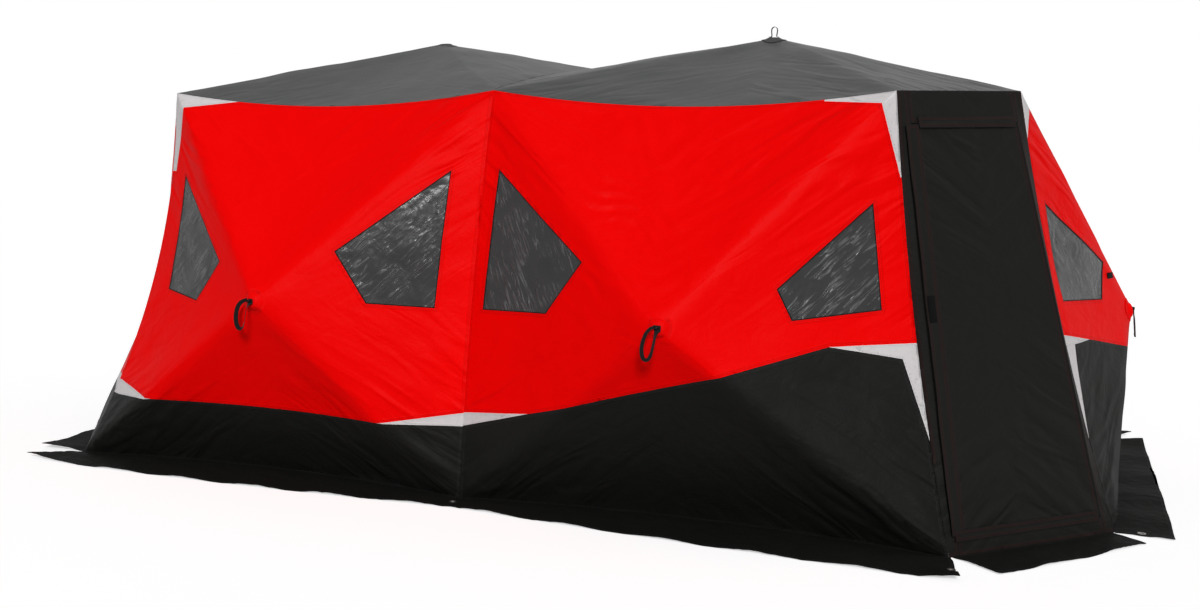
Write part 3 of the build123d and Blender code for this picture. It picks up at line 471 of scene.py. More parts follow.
def match_edges(mesh):
    """Splits each open edge where a point of the edge across the slit lies beside it.  Edges and
    points are taken by place, so that each run gives the same cloth."""
    open_edges = sorted((edge for edge in mesh.edges if edge.is_boundary),
                        key=lambda edge: tuple(edge.verts[0].co + edge.verts[1].co))
    for vertex in sorted({v for edge in open_edges for v in edge.verts}, key=lambda v: tuple(v.co)):
        for edge in list(open_edges):
            start, end = edge.verts
            way = end.co - start.co
            share = (vertex.co - start.co).dot(way) / way.length_squared
            inside = min(share, 1 - share) * way.length > GORE_SLIT
            if inside and (start.co + way * share - vertex.co).length < GORE_SLIT:
                open_edges.append(bmesh.utils.edge_split(edge, start, share)[0])


def merge_flat(mesh, angle=NEARLY_LEVEL):
    """Joins the long thin facets of curved cloth where they are nearly level with each other."""
    bmesh.ops.dissolve_limit(mesh, angle_limit=angle, verts=mesh.verts, edges=mesh.edges)


def cut(mesh, place, normal, **more):
    bmesh.ops.bisect_plane(mesh, geom=mesh.verts[:] + mesh.edges[:] + mesh.faces[:],
                           dist=0.000001, plane_co=place, plane_no=normal, **more)


def cut_grid(mesh, ways, pitch):
    """Cuts every face where it crosses evenly spaced planes, so that the cloth can fold."""
    for way in ways:
        way = Vector(way).normalized()
        places = [v.co.dot(way) for v in mesh.verts]
        for k in range(math.ceil(min(places) / pitch), math.floor(max(places) / pitch) + 1):
            cut(mesh, way * (k * pitch), way)


def mesh_points(mesh):
    return np.array([v.co for v in mesh.verts])


def move_points(mesh, heights, out):
    for vertex, step in zip(mesh.verts, np.outer(heights, out)):
        vertex.co += Vector(step)


def cloth_area(mesh):
    """Area of one face of a thin closed sheet."""
    return sum(face.calc_area() for face in mesh.faces) / 2


def rim_tree(mesh, out):
    """The cut edges of a sheet, for distances to them."""
    rims = mesh.copy()
    keep_faces(rims, lambda face: abs(face.normal.dot(Vector(out))) < RIM_FACING)
    return BVHTree.FromBMesh(rims)


def smooth_faces(mesh):
    for face in mesh.faces:
        face.smooth = True
    return mesh


def two_sided(mesh, out):
    """Gives outer faces, inner faces and cut edges their own finish, by where they face."""
    for face in smooth_faces(mesh).faces:
        facing = face.normal.dot(Vector(out))
        face.material_index = 0 if facing > FACING else 1 if facing < -FACING else 2


def add_object(name, data):
    made = bpy.data.objects.new(name, data)
    bpy.context.scene.collection.objects.link(made)
    return made


def make_object(mesh, name, finishes, body="root"):
    """A finished piece from a bmesh, riding on one body."""
    data = bpy.data.meshes.new(name)
    mesh.to_mesh(data)
    mesh.free()
    for finish in finishes:
        data.materials.append(finish)
    data.set_sharp_from_angle(angle=SHARP)
    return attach(add_object(name, data), body)


def both_halves(mesh, name, finishes, bodies=FIXED, replaced=None, folds=None):
    """One piece for each half of the shelter from one mesh; the second is turned half round.
    `folds` gives a half its own heights and the way they rise."""
    pieces = []
    for twin, body in enumerate(bodies):
        half = mesh.copy()
        if folds:
            move_points(half, *folds(twin))
        if twin:
            bmesh.ops.transform(half, matrix=HALF_TURN, verts=half.verts)
        piece = make_object(half, name_on_half(name, twin), finishes, body)
        if replaced:
            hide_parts(name_on_half(replaced, twin))
        pieces.append(piece)
    mesh.free()
    return pieces


def ridge_turns(mesh, panel):
    """How far each point's shading turns, so that outer cloth looks drawn softly over the poles
    though it keeps its shape: its facets' normals, averaged over the cloth near the pole."""
    mesh.verts.index_update()
    points = mesh_points(mesh)
    pull = np.zeros_like(points)
    for face in mesh.faces:
        if face.normal.dot(Vector(panel.out)) > FACING:
            share = np.array(face.normal) * face.calc_area()
            for vertex in face.verts:
                pull[vertex.index] += share
    used = np.flatnonzero(np.linalg.norm(pull, axis=1) > 0)
    tree = KDTree(len(used))
    for index in used:
        tree.insert(Vector(points[index]), int(index))
    tree.balance()
    away = pole_distance(points, panel)
    turns = np.zeros_like(points)
    for index in used[away[used] < RIDGE_REACH]:
        found = tree.find_range(Vector(points[index]), RIDGE_REACH)
        near = np.array([item[1] for item in found])
        weight = np.exp(-(np.array([item[2] for item in found]) / RIDGE_REACH * 2) ** 2)
        turns[index] = unit(pull[near].T @ weight) - unit(pull[index])
    return turns * SOFTNESS * smooth((RIDGE_REACH - away) / RIDGE_REACH * 2)[:, None]


def read_all(items, name, kind=np.int32, width=1):
    """One property of all of a mesh's items."""
    values = np.zeros(len(items) * width, kind)
    items.foreach_get(name, values)
    return values


def shade_softly(piece, turns):
    """Turns the shading of outer faces by a step at each point."""
    data = piece.data
    normals = read_all(data.corner_normals, "vector", np.float32, 3)
    corners = read_all(data.loops, "vertex_index")
    outer = read_all(data.polygons, "material_index") == 0
    outer = np.repeat(outer, read_all(data.polygons, "loop_total"))[:, None]
    normals = normals.reshape(-1, 3) + turns[corners] * outer
    normals /= np.maximum(np.linalg.norm(normals, axis=1), 0.000001)[:, None]
    data.normals_split_custom_set(normals.tolist())


def set_attribute(piece, name, values):
    layer = piece.data.attributes.new(name, "FLOAT", "POINT")
    layer.data.foreach_set("value", np.asarray(values, np.float32))


def set_map(piece, flat):
    corners = read_all(piece.data.loops, "vertex_index")
    layer = piece.data.uv_layers.new(name="Cloth")
    layer.uv.foreach_set("vector", flat[corners].astype(np.float32).ravel())


def set_cloth_map(piece, axes, twin=0):
    """Cloth coordinates in metres, for weave and stitches that follow the piece."""
    points = np.array([v.co for v in piece.data.vertices])
    set_map(piece, np.stack([points @ (np.array(axis) * TURNS[twin]) for axis in axes], axis=1))


def mark_creases(piece, points, middle, corners, axes, share=1.0):
    """How strongly the cloth is creased at each point, and which way its creases lean: they run
    from the corners towards the middle."""
    aside, above = ((points - middle) @ axis for axis in axes)
    weight = np.full(len(points), 0.1)
    for number, corner in enumerate(corners):
        weight = np.maximum(weight, 0.1 + (0.9 - 0.12 * number) * patch(points, corner, 1.15))
    set_attribute(piece, "crease", weight * share)
    set_attribute(piece, "lean", smooth(0.5 - aside * above / 0.04))


def declare_sheet(area, width, rests_on):
    """Works out the length of roll that the sheet's flat cut uses, from its area and its width on
    the roll, and keeps nothing.
    """
    area / CUTTING_SHARE / width


# ------------------------------------------------------------------ finishes
class Value:
    """A number that changes over a surface.  Arithmetic on it adds Math nodes."""

    def __init__(self, nodes, socket):
        self.nodes, self.socket = nodes, socket

    def math(self, operation, *others, swap=False):
        parts = [self, *others]
        if swap:
            parts.reverse()
        node = self.nodes.node("ShaderNodeMath", {"operation": operation}, dict(enumerate(parts)))
        return Value(self.nodes, node.outputs[0])

    def __add__(self, other):
        return self.math("ADD", other)

    def __sub__(self, other):
        return self.math("SUBTRACT", other)

    def __rsub__(self, other):
        return self.math("SUBTRACT", other, swap=True)

    def __mul__(self, other):
        return self.math("MULTIPLY", other)

    __radd__, __rmul__ = __add__, __mul__

    def step(self, low, high):
        """Nothing below one value, one above another, with a soft rise between them."""
        node = self.nodes.node("ShaderNodeMapRange", {"interpolation_type": "SMOOTHSTEP"},
                               {"Value": self, "From Min": low, "From Max": high})
        return Value(self.nodes, node.outputs[0])

    def band(self, middle, half, soft):
        """One within `half` of a middle value."""
        return 1 - (self - middle).math("ABSOLUTE").step(half, half + soft)


class Nodes:
    """The node tree of a material or a world, filled node by node."""

    def __init__(self, owner):
        owner.use_nodes = True
        self.tree = owner.node_tree
        self.tree.nodes.clear()

    def node(self, kind, settings=None, sockets=None):
        """A node: its settings first, then a value or a link for each named socket."""
        made = self.tree.nodes.new(kind)
        for name, value in (settings or {}).items():
            setattr(made, name, value)
        for name, value in (sockets or {}).items():
            self.feed(made.inputs[name], value)
        return made

    def feed(self, socket, value):
        value = getattr(value, "socket", value)
        if isinstance(value, bpy.types.NodeSocket):
            self.tree.links.new(value, socket)
        elif socket.type == "RGBA" and len(value) == 3:
            socket.default_value = (*value, 1)
        else:
            socket.default_value = value


class Finish(Nodes):
    """A material, built round one Principled shader."""

    def __init__(self, name, **constants):
        self.material = bpy.data.materials.new(name)
        super().__init__(self.material)
        self.shader = self.node("ShaderNodeBsdfPrincipled")
        self.set(**constants)
        self.node("ShaderNodeOutputMaterial", {}, {"Surface": self.shader.outputs[0]})
        self.place = self.node("ShaderNodeTexCoord").outputs["Object"]

    def set(self, **links):
        """Links for the shader's own sockets; an underscore in a name stands for a space."""
        for name, value in links.items():
            self.feed(self.shader.inputs[name.replace("_", " ")], value)
        return self.material

    def cloth_map(self):
        return self.node("ShaderNodeUVMap", {"uv_map": "Cloth"}).outputs[0]

    def attribute(self, name):
        node = self.node("ShaderNodeAttribute", {"attribute_name": name})
        return Value(self, node.outputs["Fac"])

    def noise(self, scale, detail=3.0, roughness=0.55, vector=None, warp=0.0):
        node = self.node("ShaderNodeTexNoise", {}, {
            "Vector": vector or self.place, "Scale": scale, "Detail": detail,
            "Roughness": roughness, "Distortion": warp})
        return Value(self, node.outputs[0])

    def streaks(self, turn, stretch, scale, warp):
        """Noise drawn out along one way of the cloth map, `turn` radians up from its first axis."""
        node = self.node("ShaderNodeMapping", {"vector_type": "TEXTURE"}, {
            "Vector": self.cloth_map(), "Rotation": (0, 0, turn), "Scale": (stretch, 1, 1)})
        return self.noise(scale, 1.5, 0.55, node.outputs[0], warp)

    def leaning(self, turns, stretch, scale, warp, shape=lambda streaks: streaks):
        """Streaks that lean one way where the lean attribute is 1, the other way where it's 0."""
        lean = self.attribute("lean")
        falls, rises = (shape(self.streaks(turn, stretch, scale, warp)) for turn in turns)
        return falls * lean + rises * (1 - lean)

    def bands(self, direction, scale, source=None):
        """Even bands across X, Y, Z or the diagonal of some coordinates."""
        node = self.node("ShaderNodeTexWave", {"bands_direction": direction}, {
            "Vector": source or self.place, "Scale": scale, "Distortion": 0.0, "Detail": 0.0})
        return Value(self, node.outputs["Fac"])

    def threads(self, pitch, direction, source=None):
        """Bands of one pitch on the cloth map."""
        return self.bands(direction, math.pi / 10 / pitch, source or self.cloth_map())

    def cells(self, scale):
        node = self.node("ShaderNodeTexVoronoi", {}, {"Vector": self.place, "Scale": scale})
        return Value(self, node.outputs["Distance"])

    def weave(self, pitch):
        """Over-and-under yarns: two crossing sets of bands."""
        return self.threads(pitch, "X") * 0.5 + self.threads(pitch, "Y") * 0.5

    def stitch_rows(self, *rows):
        """Dashed rows of thread at given distances from a piece's edges."""
        edge = self.attribute("edge")
        rows = [edge.band(row, 0.0006, 0.0004) for row in rows]
        return sum(rows[1:], rows[0]) * self.threads(0.0045, "DIAGONAL").step(0.35, 0.5)

    def blend(self, share, first, second):
        node = self.node("ShaderNodeMix", {"data_type": "RGBA"}, {
            "Factor": share, 6: first, 7: second})
        return node.outputs[2]

    def shaded(self, base, share, amount):
        """A colour made lighter and darker by `amount` as a value goes from 0 to 1."""
        return self.blend(share, tinted(base, 1 - amount),
                          tuple(min(1.0, c) for c in tinted(base, 1 + amount)))

    def bump(self, height, strength, distance, below=None):
        sockets = {"Height": height, "Strength": strength, "Distance": distance}
        if below is not None:
            sockets["Normal"] = below
        return self.node("ShaderNodeBump", {}, sockets).outputs[0]


def tinted(base, share):
    return tuple(c * share for c in base)


def woven(name, base, roughness, specular, crumple, crease, variation, thread=None):
    """Coated woven cloth: yarns, small crumples, a turned hem and two rows of stitches."""
    finish = Finish(name, Specular_IOR_Level=specular)
    mottle = finish.noise(5.5, 4, 0.6)
    shade = mottle * 0.7 + finish.noise(160, 2, 0.6) * 0.3
    stitches = finish.stitch_rows(0.006, 0.0125)
    shown = finish.blend(stitches * 0.85, finish.shaded(base, shade, variation),
                         thread or tinted(base, 0.35))
    crumples = finish.bump(finish.noise(9, 5, 0.62, warp=0.6), crumple, 0.012)
    if crease:
        pulled = finish.leaning((-0.62, 0.62), 4.5, 8.5, 1.3)
        crumples = finish.bump(pulled * finish.attribute("crease"), crease, 0.06, crumples)
    hem = 1 - finish.attribute("edge").step(0.0155, 0.0175)
    hems = finish.bump(hem + stitches * 0.6, 0.5, 0.0012, crumples)
    return finish.set(Base_Color=shown, Roughness=roughness + (mottle - 0.5) * 0.12,
                      Normal=finish.bump(finish.weave(0.0013), 0.22, 0.0004, hems))


def quilted_lining(name, base):
    """Dark inner face, quilted in diamonds over the filling."""
    finish = Finish(name, Sheen_Weight=0.1, Specular_IOR_Level=0.25)
    turned = finish.node("ShaderNodeMapping", {}, {
        "Vector": finish.cloth_map(), "Rotation": (0, 0, math.pi / 4)}).outputs[0]
    puff = finish.threads(0.11, "X", turned) * finish.threads(0.11, "Y", turned)
    seams = 1 - puff.step(0.0, 0.04)
    shade = finish.noise(7, 4, 0.6)
    shown = finish.blend(seams * 0.6, finish.shaded(base, shade, 0.12), tinted(base, 0.4))
    raised = finish.bump(puff.math("POWER", 0.4), 0.6, 0.008)
    return finish.set(Base_Color=shown, Roughness=0.62 + (shade - 0.5) * 0.2,
                      Normal=finish.bump(finish.weave(0.0016), 0.2, 0.0004, raised))


def reflective(name, base):
    """Light grey reflective fabric: fine glass beads, a faint print of dots, soft scuffs."""
    finish = Finish(name, Specular_IOR_Level=0.4)
    scuffs = finish.noise(38, 5, 0.65, warp=0.5)
    flecks = finish.noise(75, 2, 0.5).step(0.63, 0.7)
    stitches = finish.stitch_rows(0.005)
    shown = finish.blend(flecks * 0.35, finish.shaded(base, scuffs, 0.1), tinted(base, 0.55))
    shown = finish.blend(stitches * 0.7, shown, (0.25, 0.25, 0.27))
    raised = finish.bump(finish.noise(26, 4, 0.6), 0.3, 0.006)
    hem = 1 - finish.attribute("edge").step(0.009, 0.0105)
    hems = finish.bump(hem + stitches * 0.5, 0.5, 0.001, raised)
    return finish.set(Base_Color=shown, Roughness=0.5 + (scuffs - 0.5) * 0.2,
                      Normal=finish.bump(finish.cells(900.0), 0.3, 0.0003, hems))


def clear_vinyl(name, tint):
    """Smoky pressed vinyl: glossy, with close ripples whose ridges are painted pale, a painted
    highlight of light caught on them.  The ripples lean one way in some panes and the other way in
    the rest."""
    finish = Finish(name, IOR=1.45, Alpha=0.88, Specular_IOR_Level=0.25, Coat_Weight=0.12,
                    Coat_Roughness=0.08)
    wide = finish.noise(9, 3, 0.5, warp=0.5)
    crest_relief_and_highlights = finish.leaning((-1.1, 0.8), 10.0, 66, 0.55, lambda n: n.band(0.55, 0.008, 0.05))
    crest_relief_and_highlights = crest_relief_and_highlights * wide.step(0.36, 0.6)
    # Painted highlight: the colour is lightened along the ripple ridges to stand in for light they
    # catch; the same mask raises them in the bump.
    shown = finish.blend(crest_relief_and_highlights * 0.6, finish.shaded(tint, wide, 0.3), tinted(tint, 4.5))
    raised = finish.bump(wide, 0.5, 0.012)
    return finish.set(Base_Color=shown, Roughness=0.15 + finish.noise(60, 5, 0.7) * 0.16,
                      Normal=finish.bump(crest_relief_and_highlights, 0.6, 0.003, raised))


def blackened_metal(name):
    """Blackened brass or zinc with bright rubbed edges."""
    finish = Finish(name, Specular_IOR_Level=0.5)
    worn = finish.noise(120, 4, 0.6).step(0.48, 0.68)
    shown = finish.blend(worn, (0.16, 0.155, 0.15), (0.5, 0.48, 0.44))
    return finish.set(Base_Color=shown, Metallic=0.9, Roughness=0.42 - worn * 0.14,
                      Normal=finish.bump(finish.noise(200, 3, 0.6), 0.12, 0.0004))


def plain(name, base, variation, rough, swing, scale, detail, relief, strength, distance,
          constants, stretch=None):
    """One colour, mottled by a noise that also wears its gloss, with one fine relief."""
    finish = Finish(name, **constants)
    vector = stretch and finish.node("ShaderNodeMapping", {}, {
        "Vector": finish.place, "Scale": stretch}).outputs[0]
    shade = finish.noise(scale, detail, 0.6, vector)
    return finish.set(Base_Color=finish.shaded(base, shade, variation),
                      Roughness=rough + (shade - 0.5) * swing,
                      Normal=finish.bump(relief(finish, shade), strength, distance))


def webbing_ribs(finish, _):
    """Ribs across a strap and a herringbone between them."""
    return finish.threads(0.0022, "X") * 0.6 + finish.threads(0.0016, "DIAGONAL") * 0.4


# How each finish is made; a word stands for a colour setting.  After it, woven takes roughness,
# specular, crumple, crease, variation and thread; plain takes the values in its own heading.
RECIPES = {
    "red_fabric": (woven, "red", 0.45, 0.028, 0.35, 0.6, 0.035, (0.2, 0.004, 0.004)),
    "black_fabric": (woven, "black", 0.55, 0.075, 0.5, 0.65, 0.16, (0.03, 0.03, 0.03)),
    "door_fabric": (woven, "door_black", 0.6, 0.06, 0.5, 0.6, 0.14, (0.05, 0.003, 0.003)),
    "roof_fabric": (woven, "roof", 0.5, 0.16, 0.35, 0.5, 0.08, (0.03, 0.03, 0.03)),
    "skirt_fabric": (woven, "skirt", 0.7, 0.035, 0.9, 0, 0.25, (0.035, 0.034, 0.033)),
    "cap_fabric": (woven, "red", 0.6, 0.05, 0.3, 0, 0.04, (0.2, 0.004, 0.004)),
    "roof_cap_fabric": (woven, "roof", 0.6, 0.1, 0.3, 0, 0.06),
    "quilted_lining": (quilted_lining, "lining"),
    "reflective_fabric": (reflective, "silver"),
    "window_vinyl": (clear_vinyl, "vinyl"),
    "eyelet": (blackened_metal,),
    "zinc": (blackened_metal,),
    "webbing": (plain, (0.008, 0.008, 0.0083), 0.25, 0.72, 0.2, 90, 3, webbing_ribs, 0.6, 0.0007,
                {"Sheen_Weight": 0.05, "Specular_IOR_Level": 0.1}),
    "binding_tape": (plain, (0.008, 0.008, 0.008), 0.25, 0.75, 0.15, 70, 3,
                     lambda finish, _: finish.bands("DIAGONAL", 120.0), 0.4, 0.0004,
                     {"Sheen_Weight": 0.02, "Specular_IOR_Level": 0.06}),
    "box_stitched": (plain, (0.008, 0.008, 0.0083), 0.3, 0.75, 0.15, 120, 3,
                     lambda finish, _: finish.bands("Z", 140.0), 0.6, 0.0006,
                     {"Sheen_Weight": 0.04, "Specular_IOR_Level": 0.08}),
    "hook_tape": (plain, (0.003, 0.003, 0.0032), 0.25, 0.8, 0.15, 60, 3,
                  lambda finish, _: finish.cells(620.0), 0.8, 0.0009,
                  {"Sheen_Weight": 0.02, "Specular_IOR_Level": 0.05}),
    "zip_teeth": (plain, (0.014, 0.014, 0.015), 0.3, 0.34, 0.2, 300, 3, lambda _, shade: shade,
                  0.1, 0.0002, {"Specular_IOR_Level": 0.5}),
    "hub_plastic": (plain, (0.018, 0.018, 0.019), 0.3, 0.48, 0.2, 14, 4,
                    lambda finish, _: finish.noise(420, 3, 0.6), 0.25, 0.0003,
                    {"Specular_IOR_Level": 0.45}),
    "pole": (plain, (0.022, 0.022, 0.024), 0.35, 0.38, 0.2, 30, 4, lambda _, shade: shade, 0.15,
             0.0005, {"Coat_Weight": 0.25, "Coat_Roughness": 0.25}, (1, 1, 0.2)),
}
FINISHES = {}


def finish_of(name):
    """The shared material of one finish, made when it is first asked for."""
    if name not in FINISHES:
        make, *details = RECIPES[name]
        details = [tuple(getattr(cloth(), d)) if isinstance(d, str) else d for d in details]
        FINISHES[name] = make(name, *details)
    return FINISHES[name]


def lined(name):
    """Finishes of lined cloth: outer face, inner face and cut edges."""
    return [finish_of(each) for each in (name, "quilted_lining", "binding_tape")]


# ------------------------------------------------------------------ walls, roof, trim, windows
def panel_piece(node, side, name, slot, pitch, width, gored=True, pane=False):
    """Wall, roof, trim or window cloth of one side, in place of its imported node.  A gored piece is
    sewn across its poles and shaded softly there; a pane has ripples."""
    panel = panel_of(side)
    finishes = [finish_of("window_vinyl")] * 3 if pane else lined(slot)
    mesh = node_copy(node)
    if gored:
        sew_gores(mesh)
    area = cloth_area(mesh)
    merge_flat(mesh)
    cut_grid(mesh, panel.axes, pitch)
    points = mesh_points(mesh)
    calm = side_calm(points, side)
    edge = distances(points, neighbours_of(node), EDGE_REACH)
    turns = ridge_turns(mesh, panel) if gored else None
    two_sided(mesh, panel.out)

    def folds(twin):
        height = side_folds(points, side, twin, calm)
        if pane:
            height = height + vinyl_ripples(points, edge, PANE_SEEDS[side][twin])
        return height, panel.out

    pieces = both_halves(mesh, name, finishes, replaced=node, folds=folds)
    for twin, piece in enumerate(pieces):
        set_attribute(piece, "edge", edge)
        if gored:
            shade_softly(piece, turns * TURNS[twin])
            mark_creases(piece, points, panel.hub, panel.corners, panel.axes)
        if pane:
            set_attribute(piece, "lean", pane_lean(points))
        set_cloth_map(piece, panel.axes, twin)
        poles = name_on_half(POLES.get(side, "front_poles"), twin)
        declare_sheet(area, width, poles)


class SHELTER_OT_walls(bpy.types.Operator):
    """Make the red upper and black lower wall fabric"""

    bl_idname = "shelter.walls"
    bl_label = "Wall fabric"

    def execute(self, context):
        pitch = cloth().wall_grid
        for wall in WALLS:
            panel_piece(wall + "_upper", wall, wall + "_wall_fabric", "red_fabric", pitch, 1.5)
            panel_piece(wall + "_lower", wall, wall + "_lower_fabric", "black_fabric", pitch, 0.8)
        return {"FINISHED"}


class SHELTER_OT_roofs(bpy.types.Operator):
    """Make the charcoal roof fabric of both bays"""

    bl_idname = "shelter.roofs"
    bl_label = "Roof fabric"

    def execute(self, context):
        panel_piece("roof_right", "roof_right", "roof_right_fabric", "roof_fabric",
                    cloth().roof_grid, 1.5)
        return {"FINISHED"}


class SHELTER_OT_trim(bpy.types.Operator):
    """Make the reflective corner trim"""

    bl_idname = "shelter.trim"
    bl_label = "Reflective trim"

    def execute(self, context):
        for side in SIDES:
            panel_piece(side + "_trim", side, side + "_reflective_trim", "reflective_fabric",
                        cloth().trim_grid, 0.3, gored=False)
        trim_point()
        return {"FINISHED"}


class SHELTER_OT_windows(bpy.types.Operator):
    """Make the rippled vinyl panes"""

    bl_idname = "shelter.windows"
    bl_label = "Windows"

    def execute(self, context):
        for side in SIDES:
            panel_piece(side + "_windows", side, side + "_window_panes", "clear_vinyl",
                        cloth().vinyl_grid, 0.5, gored=False, pane=True)
            window_borders(side)
        return {"FINISHED"}


def window_borders(side):
    """Tape round each pane: the pane's outer face inset, and its ring made solid."""
    mesh = node_copy(side + "_windows")
    keep_outer(mesh, panel_of(side).out)
    merge_flat(mesh, 0.01)
    ring = set(bmesh.ops.inset_region(mesh, faces=mesh.faces[:], thickness=cloth().window_border,
                                      use_even_offset=True, use_boundary=True)["faces"])
    keep_faces(mesh, lambda face: face in ring)
    lay_on_cloth(mesh, side, side + "_window_tape", "binding_tape",
                 side + "_window_panes")


def trim_point():
    """The end trim's point that runs down beside the door: the wall's outer face, cut along a
    slant and laid on the lower fabric."""
    mesh = node_copy("right_end_lower")
    sew_gores(mesh)
    keep_outer(mesh, PANELS["right_end"].out)
    (start, top), (end, low) = TRIM_POINT
    cut(mesh, (0, start, top), (0, top - low, end - start), clear_outer=True)
    lay_on_cloth(mesh, "right_end", "right_end_trim_point", "reflective_fabric",
                 "right_end_lower_fabric")


def lay_on_cloth(mesh, side, name, finish, rest):
    """Makes a thin face solid and lays it on one side's cloth."""
    panel = panel_of(side)
    bmesh.ops.translate(mesh, vec=Vector(panel.out) * 0.0005, verts=mesh.verts)
    bmesh.ops.solidify(mesh, geom=mesh.faces[:], thickness=-0.0012)
    cut_grid(mesh, panel.axes, cloth().trim_grid)
    points = mesh_points(mesh)
    calm = side_calm(points, side)
    area = cloth_area(smooth_faces(mesh))
    pieces = both_halves(mesh, name, [finish_of(finish)],
                         folds=lambda twin: (side_folds(points, side, twin, calm), panel.out))
    for twin, piece in enumerate(pieces):
        set_attribute(piece, "edge", np.full(len(points), 0.02))
        set_cloth_map(piece, panel.axes, twin)
        declare_sheet(area, 0.1, name_on_half(rest, twin))


def pane_lean(points):
    """One in panes whose ripples fall to the right, none where they rise to the right."""
    falls = (points[:, 0] > FLOOR_MID[0] - 0.1) & (points[:, 0] < HUB_RIGHT[0])
    return np.where(points[:, 0] > FLOOR_RIGHT[0] + 0.05, 1.0, falls.astype(float))


def vinyl_ripples(points, edge, seed):
    """Close folds in the panes, leaning a different way in each, calm at their sewn edges."""
    height = cloth().vinyl_ripple
    falls = pane_lean(points)
    first = ripples(points, (0.9, 0.9, 0.42), 0.036, height, seed, 0.3)
    second = ripples(points, (0.65, 0.65, -0.7), 0.044, height * 0.6, seed + 2, 0.5)
    total = falls * first + (1 - falls) * second + swell(points, 0.2, height, seed + 4)
    return smooth(edge / 0.03) * total


# ------------------------------------------------------------------ door
def door_folds(points, seed):
    """Creases of the door fabric: fans from the two foot corners, one long swell."""
    height = cloth().corner_fold
    total = swell(points, 0.5, 0.002, seed)
    for corner, side in ((FLOOR_RIGHT, DOOR_ACROSS), (FLOOR_FRONT, -DOOR_ACROSS)):
        total += fan(points, corner, side + DOOR_UP * 0.25, side * 0.25 + DOOR_UP, 6, 0.75,
                     height, seed + int(side[0] > 0))
    top = EAVE_RIGHT + DOOR_ACROSS * 0.08
    total += fan(points, top, DOOR_ACROSS - DOOR_UP * 0.7, DOOR_ACROSS * 0.2 - DOOR_UP, 3, 0.45,
                 height * 0.5, seed + 4)
    return total + patch(points, (FLAP[0] + FLAP[1]) / 2, 0.4) * ripples(
        points, DOOR_UP + DOOR_ACROSS * 0.4, 0.09, 0.0015, seed + 5)


def door_piece(node, seed, width, rest, bodies=FIXED, ease=0.0, creased=0.35):
    """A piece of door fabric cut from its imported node.  Its folds may start `ease` nearer to the
    cloth round it."""
    mesh = node_copy(node)
    area = cloth_area(mesh)
    rims = rim_tree(mesh, DOOR_OUT)
    merge_flat(mesh)
    cut_grid(mesh, (DOOR_ACROSS, DOOR_UP), cloth().door_grid)
    points = mesh_points(mesh)
    edge = distances(points, rims, EDGE_REACH)
    near = distances(points, neighbours_of(node), cloth().calm_edge + ease) - ease
    near = np.minimum(near, np.clip(points[:, 2], 0, None) * 1.5)
    two_sided(mesh, DOOR_OUT)
    move_points(mesh, door_folds(points, seed) * smooth(near / cloth().calm_edge), DOOR_OUT)
    pieces = both_halves(mesh, node + "_fabric", lined("door_fabric"), bodies, node)
    for twin, piece in enumerate(pieces):
        set_attribute(piece, "edge", edge)
        mark_creases(piece, points, np.mean(FLAP, axis=0), FLAP, (DOOR_ACROSS, DOOR_UP), creased)
        set_cloth_map(piece, (DOOR_ACROSS, DOOR_UP), twin)
        declare_sheet(area, width, name_on_half(rest, twin))


class SHELTER_OT_doors(bpy.types.Operator):
    """Make the door fabric: the moving flap and the fixed cloth round it"""

    bl_idname = "shelter.doors"
    bl_label = "Door fabric"

    def execute(self, context):
        door_piece("right_door_flap", 701, 0.8, "right_door_jambs", MOVING, FLAP_REST_GAP, 1.0)
        for part, width in (("jambs", 0.1), ("header", 0.15), ("sill", 0.1)):
            door_piece("right_door_" + part, 711, width, "right_end_poles")
        return {"FINISHED"}


def door_strip(name, start, end, axes, widths, pitch, thickness, rise, ways=None, cut_width=None):
    """A strip of cloth laid on the flap from start to end, its width set off along the first axis.
    `rise` gives its height over the flap from the distance to that line and the share along it.
    `cut_width`, the cloth's width where that is more than it covers, is not used."""
    way, (inner, outer) = end - start, widths
    tall = float(np.linalg.norm(way))
    mesh = bmesh.new()
    bmesh.ops.create_grid(mesh, x_segments=max(2, round((outer - inner) / pitch * 2)),
                          y_segments=max(2, round(tall / pitch)), size=0.5)
    for vertex in mesh.verts:
        u, v = vertex.co.x + 0.5, vertex.co.y + 0.5
        vertex.co = Vector(start + way * v + axes[0] * (inner + (outer - inner) * u))
    sideways, onward = ways or axes
    away = mesh_points(mesh) - start
    move_points(mesh, rise(away @ sideways, away @ onward / tall), DOOR_OUT)
    bmesh.ops.recalc_face_normals(mesh, faces=mesh.faces)
    facing = sum((f.normal * f.calc_area() for f in mesh.faces), Vector())
    if facing.dot(Vector(DOOR_OUT)) > 0:
        bmesh.ops.reverse_faces(mesh, faces=mesh.faces)
    bmesh.ops.solidify(mesh, geom=mesh.faces[:], thickness=thickness)
    bmesh.ops.recalc_face_normals(mesh, faces=mesh.faces)
    edge = distances(mesh_points(mesh), rim_tree(mesh, DOOR_OUT), EDGE_REACH)
    area = cloth_area(smooth_faces(mesh))
    size = (cut_width or outer - inner, tall * HEM_SHARE)
    pieces = both_halves(mesh, name, [finish_of("door_fabric")], MOVING)
    for twin, piece in enumerate(pieces):
        set_attribute(piece, "edge", edge)
        set_cloth_map(piece, axes, twin)
        min(area, size[0] * size[1])
        name_on_half("right_door_flap_fabric", twin)


